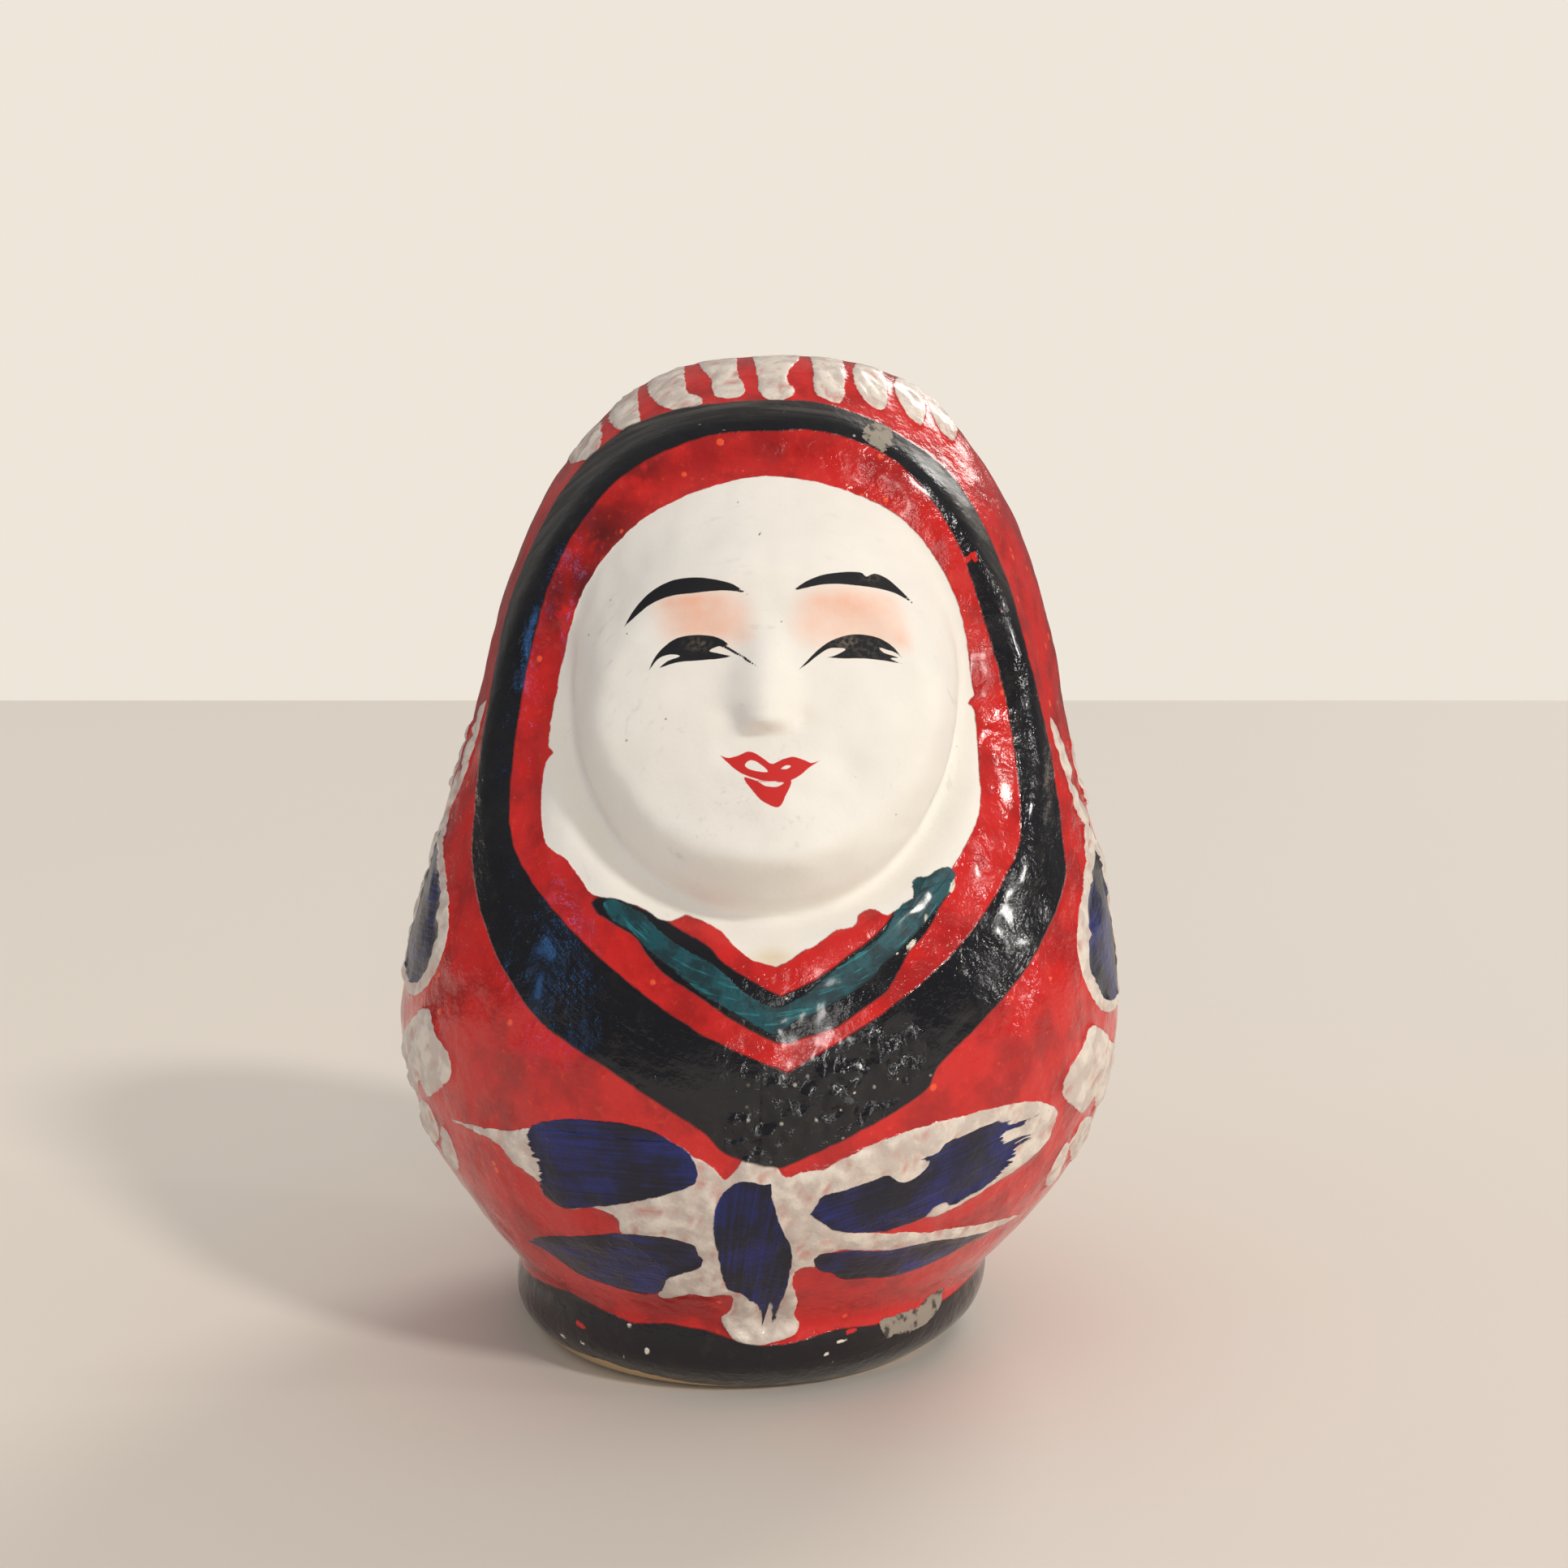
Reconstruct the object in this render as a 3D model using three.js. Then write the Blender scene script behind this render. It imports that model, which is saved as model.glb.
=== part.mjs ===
// A papier-mache princess daruma: one hollow paper shell pressed over a mould and painted.
// Millimetres, +Z up. The origin is the middle of the sole, and the face looks along -Y.
import * as THREE from "three";

// Driving sizes.
const figureHeight = 90;
const bellyHalfWidth = 33.5;
const footHalfWidth = 22.3;
const footHeight = 7;

// The outline from the sole to the crown: [share of the height, share of the belly's half width].
const footRise = footHeight / figureHeight;
const footShare = footHalfWidth / bellyHalfWidth;
const footOutline = [
  [0, 0.84 * footShare],
  [0.1 * footRise, 0.89 * footShare],
  [0.4 * footRise, 0.98 * footShare],
  [0.75 * footRise, footShare],
  [footRise, 0.985 * footShare],
];
const shellOutline = [
  [footRise, 0.985 * footShare],
  [0.104, 0.722],
  [0.14, 0.802],
  [0.21, 0.921],
  [0.3, 0.995],
  [0.38, 0.992],
  [0.48, 0.939],
  [0.62, 0.831],
  [0.75, 0.749],
  [0.83, 0.672],
  [0.89, 0.582],
  [0.94, 0.475],
  [0.975, 0.358],
  [0.993, 0.225],
  [1, 0],
];

// The section is round at the foot and a little flatter, front and back, from the face up.
const frontFlattening = 0.1;
const backFlattening = 0.07;
const fullyFlatAt = 60;
// The shell sits off the foot's middle and leans.
const footOffset = 1.2;
const footOffsetRise = 6;
const leanPerHeight = 0.023;

// The face, in the front view: its centre and the white field's half sizes.
const face = { x: 2.3, z: 59.5, halfWidth: 17.8, up: 17.5, down: 16 };
const dome = { rise: 2.1, flat: 0.35, edge: 0.95 };
const groove = { depth: 1.5, at: 0.95, width: 0.15, fadeLow: -6, fadeHigh: 10 };
// The hood's rolled rim, as a ridge on an ellipse in the front view, with a valley inside it.
const hoodRoll = { x: 2.1, z: 52, halfWidth: 22.9, up: 30.6, rise: 0.8, width: 0.075, ends: 46 };
const hoodValley = { at: 0.86, depth: 0.6, width: 0.05 };
const nose = { x: 2.3, top: 66.5, tip: 58.2, under: 55.6, rise: 1.35, halfWidth: 2.7 };

// Soft mounds and hollows of the face: place and half sizes in the front view, and height.
const faceMounds = [
  { x: 2.3 - 7.4, z: 65, halfX: 5, halfZ: 2.6, rise: -0.45 },
  { x: 2.3 + 7.4, z: 65, halfX: 5, halfZ: 2.6, rise: -0.45 },
  { x: 2.3 - 7.6, z: 55.5, halfX: 5.4, halfZ: 5, rise: 0.75 },
  { x: 2.3 + 7.6, z: 55.5, halfX: 5.4, halfZ: 5, rise: 0.75 },
  { x: 2.5, z: 52.4, halfX: 4.4, halfZ: 3, rise: 0.6 },
  { x: 2.5, z: 53.1, halfX: 3, halfZ: 0.9, rise: 0.25 },
  { x: 2.5, z: 50.6, halfX: 2.2, halfZ: 0.9, rise: 0.3 },
  { x: 2.3, z: 47, halfX: 4.2, halfZ: 2.4, rise: 0.85 },
];

// Slow unevenness of the pasted paper: waves round and up the shell.
const paperWaves = [
  { round: 2, up: 0.06, phase: 0.6, rise: 0.16 },
  { round: 3, up: 0.11, phase: 2.1, rise: 0.12 },
  { round: 5, up: 0.17, phase: 4.4, rise: 0.08 },
];

// How finely the shell is faceted: its columns crowd to the front, and its rings to the face.
const columns = 76;
const footRings = 9;
const shellRings = 54;
const frontCrowding = 0.4;
const faceCrowding = 0.42;

const smoothstep = THREE.MathUtils.smoothstep;
const bell = (t) => Math.exp(-t * t);

// Points along one outline, closer together halfway up it by the crowding.
function outlinePoints(outline, rings, crowding) {
  const curve = new THREE.SplineCurve(
    outline.map(([up, out]) => new THREE.Vector2(out * bellyHalfWidth, up * figureHeight)),
  );
  return Array.from({ length: rings + 1 }, (_, ring) => {
    const share = ring / rings;
    return curve.getPointAt(share + (crowding * Math.sin(2 * Math.PI * share)) / (2 * Math.PI));
  });
}

function profilePoints() {
  const foot = outlinePoints(footOutline, footRings, 0);
  const shell = outlinePoints(shellOutline, shellRings, faceCrowding);
  shell[shell.length - 1].set(0, figureHeight);
  return [new THREE.Vector2(0, 0), ...foot, ...shell.slice(1)];
}

function centreLine(z) {
  return footOffset * (1 - Math.exp(-z / footOffsetRise)) + leanPerHeight * z;
}

function domeAndGroove(x, z) {
  const up = z - face.z;
  const reach = Math.hypot((x - face.x) / face.halfWidth, up / (up > 0 ? face.up : face.down));
  const lower = 1 - smoothstep(up, groove.fadeLow, groove.fadeHigh);
  const swell = dome.rise * (1 - smoothstep(reach, dome.flat, dome.edge));
  return swell - groove.depth * lower * bell((reach - groove.at) / groove.width);
}

// The rolled rim of the hood round the head and the valley inside it, down to the shoulders.
function hoodRim(x, z) {
  const up = z - hoodRoll.z;
  const reach = Math.hypot((x - hoodRoll.x) / hoodRoll.halfWidth, up / hoodRoll.up);
  const ridge = hoodRoll.rise * bell((reach - 1) / hoodRoll.width);
  const valley = hoodValley.depth * bell((reach - hoodValley.at) / hoodValley.width);
  return (ridge - valley) * smoothstep(z, hoodRoll.ends - 6, hoodRoll.ends + 8);
}

function noseRidge(x, z) {
  const down = smoothstep(nose.top - z, 0, nose.top - nose.tip);
  const under = smoothstep(z, nose.under, nose.tip - 0.4);
  return nose.rise * down * under * bell((x - nose.x) / (nose.halfWidth * (0.55 + 0.45 * down)));
}

function mounds(x, z) {
  return faceMounds.reduce(
    (sum, m) => sum + m.rise * bell(Math.hypot((x - m.x) / m.halfX, (z - m.z) / m.halfZ)),
    0,
  );
}

function unevenness(azimuth, z) {
  const waves = paperWaves.reduce(
    (sum, w) => sum + w.rise * Math.sin(w.round * azimuth + w.up * z + w.phase),
    0,
  );
  return waves * smoothstep(z, 2, 14);
}

// Moves one point of the turned shell to its place on the finished one.
function shellPoint(halfWidth, z, azimuth) {
  const flattening = smoothstep(z, 0, fullyFlatAt);
  const front = Math.cos(azimuth) > 0;
  const depth = halfWidth * (1 - (front ? frontFlattening : backFlattening) * flattening);
  const x = centreLine(z) + halfWidth * Math.sin(azimuth);
  const onFront = smoothstep(Math.cos(azimuth), 0, 0.25);
  const carved = onFront * (domeAndGroove(x, z) + hoodRim(x, z) + noseRidge(x, z) + mounds(x, z));
  const out = halfWidth > 0 ? (carved + unevenness(azimuth, z)) * smoothstep(halfWidth, 0, 12) : 0;
  return new THREE.Vector3(
    centreLine(z) + (halfWidth + out) * Math.sin(azimuth),
    -(depth + out) * Math.cos(azimuth),
    z,
  );
}

function carvedPoint(turnedPoint) {
  const halfWidth = Math.hypot(turnedPoint.x, turnedPoint.z);
  const turned = Math.atan2(turnedPoint.x, turnedPoint.z);
  return shellPoint(halfWidth, turnedPoint.y, turned - frontCrowding * Math.sin(turned));
}

// How far the middle of an edge lies from where a four-sided face's own middle should be.
function bend(from, to, middle) {
  return new THREE.Vector3().lerpVectors(from, to, 0.5).distanceTo(middle);
}

// Splits each four-sided face along the diagonal that keeps closer to the carved surface.
// The lathe writes a face with the corners a, b, c, d as the two triangles a, b, d and c, d, b.
function splitFaces(latheIndex, before, after) {
  const index = [];
  for (let i = 0; i < latheIndex.length; i += 6) {
    const [a, b, d, c] = latheIndex.slice(i, i + 4);
    const centre = new THREE.Vector3();
    [a, b, c, d].forEach((corner) => centre.addScaledVector(before[corner], 0.25));
    const middle = carvedPoint(centre);
    if (bend(after[a], after[c], middle) < bend(after[b], after[d], middle)) {
      index.push(a, b, c, a, c, d);
    } else {
      index.push(a, b, d, c, d, b);
    }
  }
  return index;
}

// A shell turned on its upright axis, then flattened, leant and carved.
function figureShell() {
  const geometry = new THREE.LatheGeometry(profilePoints(), columns);
  const place = geometry.getAttribute("position");
  const before = [];
  for (let i = 0; i < place.count; i++) {
    before.push(new THREE.Vector3().fromBufferAttribute(place, i));
  }
  const after = before.map(carvedPoint);
  place.copyArray(after.flatMap((point) => point.toArray()));
  geometry.setIndex(splitFaces(geometry.index.array, before, after));
  geometry.computeVertexNormals();
  return geometry;
}

const lacqueredPaper = new THREE.MeshStandardMaterial({
  color: 0xb3201f,
  roughness: 0.35,
  metalness: 0,
});

const shell = new THREE.Mesh(figureShell(), lacqueredPaper);
shell.name = "papier_mache_shell";

const figure = new THREE.Group();
figure.name = "princess_daruma";
figure.add(shell);

export default figure;
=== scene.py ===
# A small princess daruma of pasted paper, painted by hand.
import math
import bpy
import numpy as np
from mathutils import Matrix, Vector, noise


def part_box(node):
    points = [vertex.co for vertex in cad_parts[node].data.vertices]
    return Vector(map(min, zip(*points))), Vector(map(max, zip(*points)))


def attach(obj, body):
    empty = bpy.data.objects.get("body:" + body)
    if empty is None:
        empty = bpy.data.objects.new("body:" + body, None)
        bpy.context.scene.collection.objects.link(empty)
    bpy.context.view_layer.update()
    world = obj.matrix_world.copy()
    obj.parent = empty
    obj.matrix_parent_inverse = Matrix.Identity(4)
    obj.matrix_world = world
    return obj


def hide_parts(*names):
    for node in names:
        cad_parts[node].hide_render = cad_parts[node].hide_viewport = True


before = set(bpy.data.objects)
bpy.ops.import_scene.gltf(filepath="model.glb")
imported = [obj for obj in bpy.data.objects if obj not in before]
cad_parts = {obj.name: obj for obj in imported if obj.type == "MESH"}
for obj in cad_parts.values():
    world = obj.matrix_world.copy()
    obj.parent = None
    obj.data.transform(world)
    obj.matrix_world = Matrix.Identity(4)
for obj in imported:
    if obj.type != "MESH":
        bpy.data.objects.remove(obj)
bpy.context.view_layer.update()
solidName = "papier_mache_shell"
low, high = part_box(solidName)
mm = (high.z - low.z) / 90  # the figure is drawn 90 mm tall, so this is a millimetre of it


# Close in front of the figure, a little above its middle, looking slightly down.
camera = {"place": (3.9, -159, 60), "down": 3.4, "fieldOfView": 50, "sensor": 36}


def addCamera(c):
    bpy.ops.object.camera_add(
        location=[v * mm for v in c["place"]],
        rotation=(math.radians(90 - c["down"]), 0, 0),
    )
    made = bpy.context.object
    made.name = "front_camera"
    made.data.sensor_width = c["sensor"]
    made.data.lens = c["sensor"] / 2 / math.tan(math.radians(c["fieldOfView"] / 2))
    made.data.clip_start = 0.005
    bpy.context.scene.camera = made


addCamera(camera)
print("camera placed")

# The outline is [share of the height, share of the belly's half width], as on the solid.
shell = {
    "height": 90,
    "bellyHalfWidth": 33.5,
    "soleRings": [0.3, 0.6, 0.75],
    "footOutline": [(0, 0.559), (0.0078, 0.592), (0.0311, 0.652), (0.0583, 0.666), (0.0778, 0.656)],
    "bodyOutline": [
        (0.0778, 0.656), (0.104, 0.722), (0.14, 0.802), (0.21, 0.921), (0.3, 0.995), (0.38, 0.992),
        (0.48, 0.939), (0.62, 0.831), (0.75, 0.749), (0.83, 0.672), (0.89, 0.582), (0.94, 0.475),
        (0.975, 0.358), (0.993, 0.225), (1, 0),
    ],
    "columns": 76,
    "footRings": 8,
    "bodyRings": 46,
    "smoothings": 2,
    "frontCrowding": 0.4,
    "faceCrowding": 0.42,
    # split once more for the fine brush lines: left, right, bottom and top in the front view
    "fineAreas": [(-9.8, 15.6, 60.2, 69.6), (-2.2, 7.8, 49.7, 55.5), (-1, 14.5, 23, 32.5)],
    "finestAreas": [(-7.4, 14.0, 60.9, 64.2), (-1.5, 7.1, 50.3, 55)],
    "frontFlattening": 0.1,
    "backFlattening": 0.07,
    "fullyFlatAt": 60,
    "footOffset": 1.2,
    "footOffsetRise": 6,
    "leanPerHeight": 0.023,
    "sideBlend": 0.25,  # the front carving fades out to the sides
    "lumpsFrom": (2, 14),  # and the lumps to the foot and the crown
    "crownCalm": 12,
}


def smoothstep(value, start, end):
    share = np.clip((value - start) / (end - start), 0, 1)
    return share * share * (3 - 2 * share)


def bell(value):
    return np.exp(-value * value)


def centreLine(z, s):
    return s["footOffset"] * (1 - np.exp(-z / s["footOffsetRise"])) + s["leanPerHeight"] * z


def splineRun(points, stepLength):
    # one smooth run through the points, from the first to the last
    points = np.asarray(points, float)
    before = np.vstack([points[:1], points[:-1]])
    after = np.vstack([points[1:], points[-1:]])
    slopes = (after - before) / 2
    run = [points[:1]]
    for i in range(len(points) - 1):
        start, end = points[i], points[i + 1]
        steps = max(2, math.ceil(np.linalg.norm(end - start) / stepLength))
        t = np.linspace(0, 1, steps + 1)[1:, None]
        run.append(
            (2 * t**3 - 3 * t**2 + 1) * start
            + (t**3 - 2 * t**2 + t) * slopes[i]
            + (3 * t**2 - 2 * t**3) * end
            + (t**3 - t**2) * slopes[i + 1]
        )
    return np.vstack(run)


def pointAt(run, share):
    lengths = np.concatenate([[0], np.cumsum(np.linalg.norm(np.diff(run, axis=0), axis=1))])
    return [np.interp(share * lengths[-1], lengths, run[:, k]) for k in range(run.shape[1])]


def ringPlaces(s):
    # (half width, height) of every turned ring after the first one on the sole
    scale = np.array([s["bellyHalfWidth"], s["height"]])
    foot = splineRun([(w, h) for h, w in s["footOutline"]] * scale, 0.1)
    body = splineRun([(w, h) for h, w in s["bodyOutline"]] * scale, 0.1)
    places = [(share * foot[0][0], 0) for share in s["soleRings"][1:]]
    places += [pointAt(foot, ring / s["footRings"]) for ring in range(s["footRings"] + 1)]
    for ring in range(1, s["bodyRings"]):
        share = ring / s["bodyRings"]
        share += s["faceCrowding"] * math.sin(2 * math.pi * share) / (2 * math.pi)
        places.append(pointAt(body, share))
    return places


def turnShell(s):
    # drawn up from the sole ring by ring, then closed at the crown
    first = s["soleRings"][0] * s["footOutline"][0][1] * s["bellyHalfWidth"]
    bpy.ops.object.select_all(action="DESELECT")
    bpy.ops.mesh.primitive_circle_add(vertices=s["columns"], radius=first * mm, fill_type="NGON")
    piece = bpy.context.object
    piece.name = "painted_shell"
    bpy.ops.object.mode_set(mode="EDIT")
    halfWidth, height = first, 0
    for nextHalfWidth, nextHeight in ringPlaces(s):
        rise = (nextHeight - height) * mm
        widen = nextHalfWidth / halfWidth
        bpy.ops.mesh.extrude_region_move(TRANSFORM_OT_translate={"value": (0, 0, rise)})
        bpy.ops.transform.resize(value=(widen, widen, 1), center_override=(0, 0, nextHeight * mm))
        halfWidth, height = nextHalfWidth, nextHeight
    bpy.ops.mesh.extrude_region_move(
        TRANSFORM_OT_translate={"value": (0, 0, (s["height"] - height) * mm)}
    )
    bpy.ops.mesh.merge(type="CENTER")
    bpy.ops.mesh.select_all(action="SELECT")
    bpy.ops.mesh.remove_doubles(threshold=0.001 * mm)
    bpy.ops.mesh.normals_make_consistent(inside=False)
    bpy.ops.object.mode_set(mode="OBJECT")
    smooth = piece.modifiers.new("smooth", "SUBSURF")
    smooth.levels = s["smoothings"]
    smooth.render_levels = s["smoothings"]
    bpy.ops.object.modifier_apply(modifier="smooth")
    return piece


def places(piece):
    # every vertex, in the figure's millimetres
    flat = np.zeros(len(piece.data.vertices) * 3)
    piece.data.vertices.foreach_get("co", flat)
    return flat.reshape(-1, 3) / mm


def azimuths(at, s):
    # columns crowd to the front, which faces -Y; 0 is straight ahead and + is the viewer's right
    turned = np.arctan2(at[:, 0], -at[:, 1])
    return turned - s["frontCrowding"] * np.sin(turned)


def splitAreas(piece, s, areas):
    # the faces in these parts of the front view are split in four
    bpy.ops.object.mode_set(mode="EDIT")
    bpy.ops.mesh.select_mode(type="FACE")
    bpy.ops.mesh.select_all(action="DESELECT")
    bpy.ops.object.mode_set(mode="OBJECT")
    at = places(piece)
    azimuth = azimuths(at, s)
    x = centreLine(at[:, 2], s) + np.hypot(at[:, 0], at[:, 1]) * np.sin(azimuth)
    inside = np.zeros(len(at), bool)
    for left, right, bottom, top in areas:
        inside |= (x > left) & (x < right) & (at[:, 2] > bottom) & (at[:, 2] < top)
    inside &= np.cos(azimuth) > 0
    for face in piece.data.polygons:
        face.select = all(inside[v] for v in face.vertices)
    bpy.ops.object.mode_set(mode="EDIT")
    bpy.ops.mesh.subdivide(number_cuts=1)
    bpy.ops.object.mode_set(mode="OBJECT")


shellPiece = turnShell(shell)
splitAreas(shellPiece, shell, shell["fineAreas"])
splitAreas(shellPiece, shell, shell["finestAreas"])
print("shell turned:", len(shellPiece.data.vertices), "vertices")

# Carving in the front view: x to the viewer's right, z up, all in millimetres.
carving = {
    "face": {"x": 2.5, "z": 59.5, "halfWidth": 17.7, "up": 17.5, "down": 18.3},
    "dome": {"rise": 3.2, "flat": 0.52, "lowFlat": 0.66, "edge": 0.97},
    "groove": {"depth": 2.0, "at": 0.99, "width": 0.07, "fadeLow": -6, "fadeHigh": 10},
    "hoodRoll": {"x": 2.1, "z": 52, "halfWidth": 22.9, "up": 30.6, "rise": 0.9, "width": 0.07},
    "hoodEnds": (40, 54),
    "hoodValley": {"at": 0.86, "depth": 0.6, "width": 0.05},
    "nose": {
        "x": 2.4, "top": 66.5, "tip": 57.9, "under": 55.8, "rise": 2.0, "halfWidth": 2.1,
        "bridge": 0.55, "tipRound": 0.4,
    },
    # place, half sizes and height of each soft mound or hollow
    "mounds": [
        (-5.1, 65, 5, 2.6, -0.45), (9.7, 65, 5, 2.6, -0.45),  # eye hollows
        (-5.6, 56.5, 5, 4.6, 0.55), (10.2, 56.5, 5, 4.6, 0.7),  # cheeks
        (2.5, 52.4, 5.4, 3.6, 0.6), (2.5, 53.1, 3, 0.9, 0.2), (2.5, 50.6, 2.2, 0.9, 0.25),  # mouth
        (2.6, 47.4, 6.5, 3, 1.0), (8.2, 53.6, 1.6, 1.4, -0.4),  # chin, smile fold
        (0.2, 57.4, 1, 0.9, -0.6), (4.8, 57.4, 1, 0.9, -0.5),  # nostril wings
    ],
    # waves round and up the shell, a phase and a height
    "paperWaves": [(2, 0.06, 0.6, 0.16), (3, 0.11, 2.1, 0.12), (5, 0.17, 4.4, 0.08)],
    # lumps and dents of the pasted paper: size across and height
    "paperLumps": [(9, 0.22), (3.5, 0.15), (1.5, 0.06)],
}


def frontRelief(x, z, c):
    face, dome, groove = c["face"], c["dome"], c["groove"]
    up = z - face["z"]
    tall = np.where(up > 0, face["up"], face["down"])
    reach = np.hypot((x - face["x"]) / face["halfWidth"], up / tall)
    lower = 1 - smoothstep(up, groove["fadeLow"], groove["fadeHigh"])
    flat = dome["flat"] + (dome["lowFlat"] - dome["flat"]) * lower
    relief = dome["rise"] * (1 - smoothstep(reach, flat, dome["edge"]))
    relief -= groove["depth"] * lower * bell((reach - groove["at"]) / groove["width"])

    roll, valley = c["hoodRoll"], c["hoodValley"]
    reach = np.hypot((x - roll["x"]) / roll["halfWidth"], (z - roll["z"]) / roll["up"])
    rim = roll["rise"] * bell((reach - 1) / roll["width"])
    rim -= valley["depth"] * bell((reach - valley["at"]) / valley["width"])
    relief += rim * smoothstep(z, *c["hoodEnds"])

    nose = c["nose"]
    down = smoothstep(nose["top"] - z, 0, nose["top"] - nose["tip"])
    under = smoothstep(z, nose["under"], nose["tip"] - nose["tipRound"])
    width = nose["halfWidth"] * (nose["bridge"] + (1 - nose["bridge"]) * down)
    relief += nose["rise"] * down * under * bell((x - nose["x"]) / width)
    for moundX, moundZ, halfX, halfZ, rise in c["mounds"]:
        relief += rise * bell(np.hypot((x - moundX) / halfX, (z - moundZ) / halfZ))
    return relief


def lumps(at, sizes, shift):
    # smooth noise of several sizes, the same at every run
    total = np.zeros(len(at))
    for size, rise in sizes:
        total += rise * np.array([noise.noise(Vector(p) / size + Vector(shift)) for p in at])
    return total


def carveShell(piece, s, c):
    at = places(piece)
    z = at[:, 2]
    halfWidth = np.hypot(at[:, 0], at[:, 1])
    azimuth = azimuths(at, s)
    ahead = np.cos(azimuth)
    flattening = np.where(ahead > 0, s["frontFlattening"], s["backFlattening"])
    depth = halfWidth * (1 - flattening * smoothstep(z, 0, s["fullyFlatAt"]))
    middle = centreLine(z, s)
    x = middle + halfWidth * np.sin(azimuth)
    out = smoothstep(ahead, 0, s["sideBlend"]) * frontRelief(x, z, c)
    waves = sum(r * np.sin(k * azimuth + u * z + p) for k, u, p, r in c["paperWaves"])
    rough = lumps(np.column_stack([x, -depth * ahead, z]), c["paperLumps"], (5.2, 1.3, 7.7))
    out += (waves + rough) * smoothstep(z, *s["lumpsFrom"])
    out *= smoothstep(halfWidth, 0, s["crownCalm"])
    return np.column_stack([middle + (halfWidth + out) * np.sin(azimuth), -(depth + out) * ahead, z])


azimuthDegrees = np.degrees(azimuths(places(shellPiece), shell))
surface = carveShell(shellPiece, shell, carving)
print("shell carved")


# Each field says how far inside a painted shape a point is, in millimetres.
# A repeated point is a sharp tip.
def closedLine(points, stepLength=0.3):
    points = [tuple(p) for p in points]
    tips = [i for i in range(len(points)) if points[i] == points[(i + 1) % len(points)]]
    if not tips:
        around = points[-3:] + points + points[:3]
        run = splineRun(around, stepLength)
        first = np.argmin(np.linalg.norm(run - np.array(points[0]), axis=1))
        last = len(run) - 1 - np.argmin(np.linalg.norm(run[::-1] - np.array(points[0]), axis=1))
        if last <= first:
            last = len(run)
        return run[first:last]
    turned = points[tips[0] + 1:] + points[: tips[0] + 1]
    runs, start = [], 0
    for i in range(1, len(turned)):
        if turned[i] == turned[i - 1]:
            runs.append(splineRun(turned[start:i], stepLength))
            start = i
    runs.append(splineRun(turned[start:] + turned[:1], stepLength))
    return np.vstack([run[:-1] for run in runs])


def outlineField(chart, points, reach=3.0):
    line = closedLine(points)
    field = np.full(len(chart), -reach)
    near = np.all((chart > line.min(0) - reach) & (chart < line.max(0) + reach), axis=1)
    at = chart[near]
    distance = np.full(len(at), np.inf)
    inside = np.zeros(len(at), bool)
    for start, end in zip(line, np.roll(line, -1, axis=0)):
        along = end - start
        t = np.clip(((at - start) @ along) / max(along @ along, 1e-12), 0, 1)
        distance = np.minimum(distance, np.hypot(*(at - start - t[:, None] * along).T))
        crosses = (start[1] > at[:, 1]) != (end[1] > at[:, 1])
        if abs(along[1]) > 1e-12:
            inside ^= crosses & (at[:, 0] < start[0] + (at[:, 1] - start[1]) * along[0] / along[1])
    field[near] = np.where(inside, 1, -1) * np.minimum(distance, reach)
    return field


def strokeField(chart, spine, reach=3.0):
    # the last number of each point is the brush's half width there
    run = splineRun(spine, 0.2)
    size = chart.shape[1]
    field = np.full(len(chart), -reach)
    edge = run[:, size].max() + reach
    near = np.all((chart > run[:, :size].min(0) - edge) & (chart < run[:, :size].max(0) + edge), axis=1)
    at = chart[near]
    best = np.full(len(at), -reach)
    for point in run:
        best = np.maximum(best, point[size] - np.linalg.norm(at - point[:size], axis=1))
    field[near] = best
    return field


degree = 0.52  # millimetres along the belly for a degree round it
front = np.column_stack([surface[:, 0], surface[:, 2]])
front[surface[:, 1] > 0] = (99, -99)  # out of reach, so the back stays clear of it
roundBelly = np.column_stack([azimuthDegrees * degree, surface[:, 2]])


def onFront(points):
    return outlineField(front, points)


def onBelly(points):
    return outlineField(roundBelly, [(a * degree, z) for a, z in points])


def anyOf(fields):
    return np.max(list(fields), axis=0)


faceField = {
    "outline": [
        (3.1, 77.2), (9.8, 75.8), (14.8, 72.8), (18.5, 66.8), (19.8, 60), (19.9, 59), (19.4, 58.4),
        (20, 57.6), (20.1, 53.4), (19.9, 49.5), (17.9, 45.9), (16.8, 44.4), (15.6, 43.2), (14.3, 42.4),
        (12.7, 42.2), (11.9, 41.8), (11.2, 42.25), (10.5, 42.25), (9.8, 41.9), (9.4, 41.1), (8, 40.8),
        (6.6, 39.9), (5.3, 39.3), (4.4, 38.7), (3.3, 38.2), (3.3, 38.2), (1.75, 38.6), (0.7, 39.2),
        (-1.2, 40.8), (-2.5, 41.4), (-3.9, 41.85), (-4.8, 41.45), (-5.8, 41.6), (-7.2, 42.4),
        (-9.3, 43.05), (-11.2, 43.3), (-12.3, 44.4), (-13.6, 45.9), (-15.5, 47.1), (-16.1, 50),
        (-15.9, 53.4), (-15.2, 54.4), (-15.8, 55.4), (-14.7, 62.4), (-12.6, 68.5), (-8.1, 73.5),
        (-2.5, 76.2),
    ],
}
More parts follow.
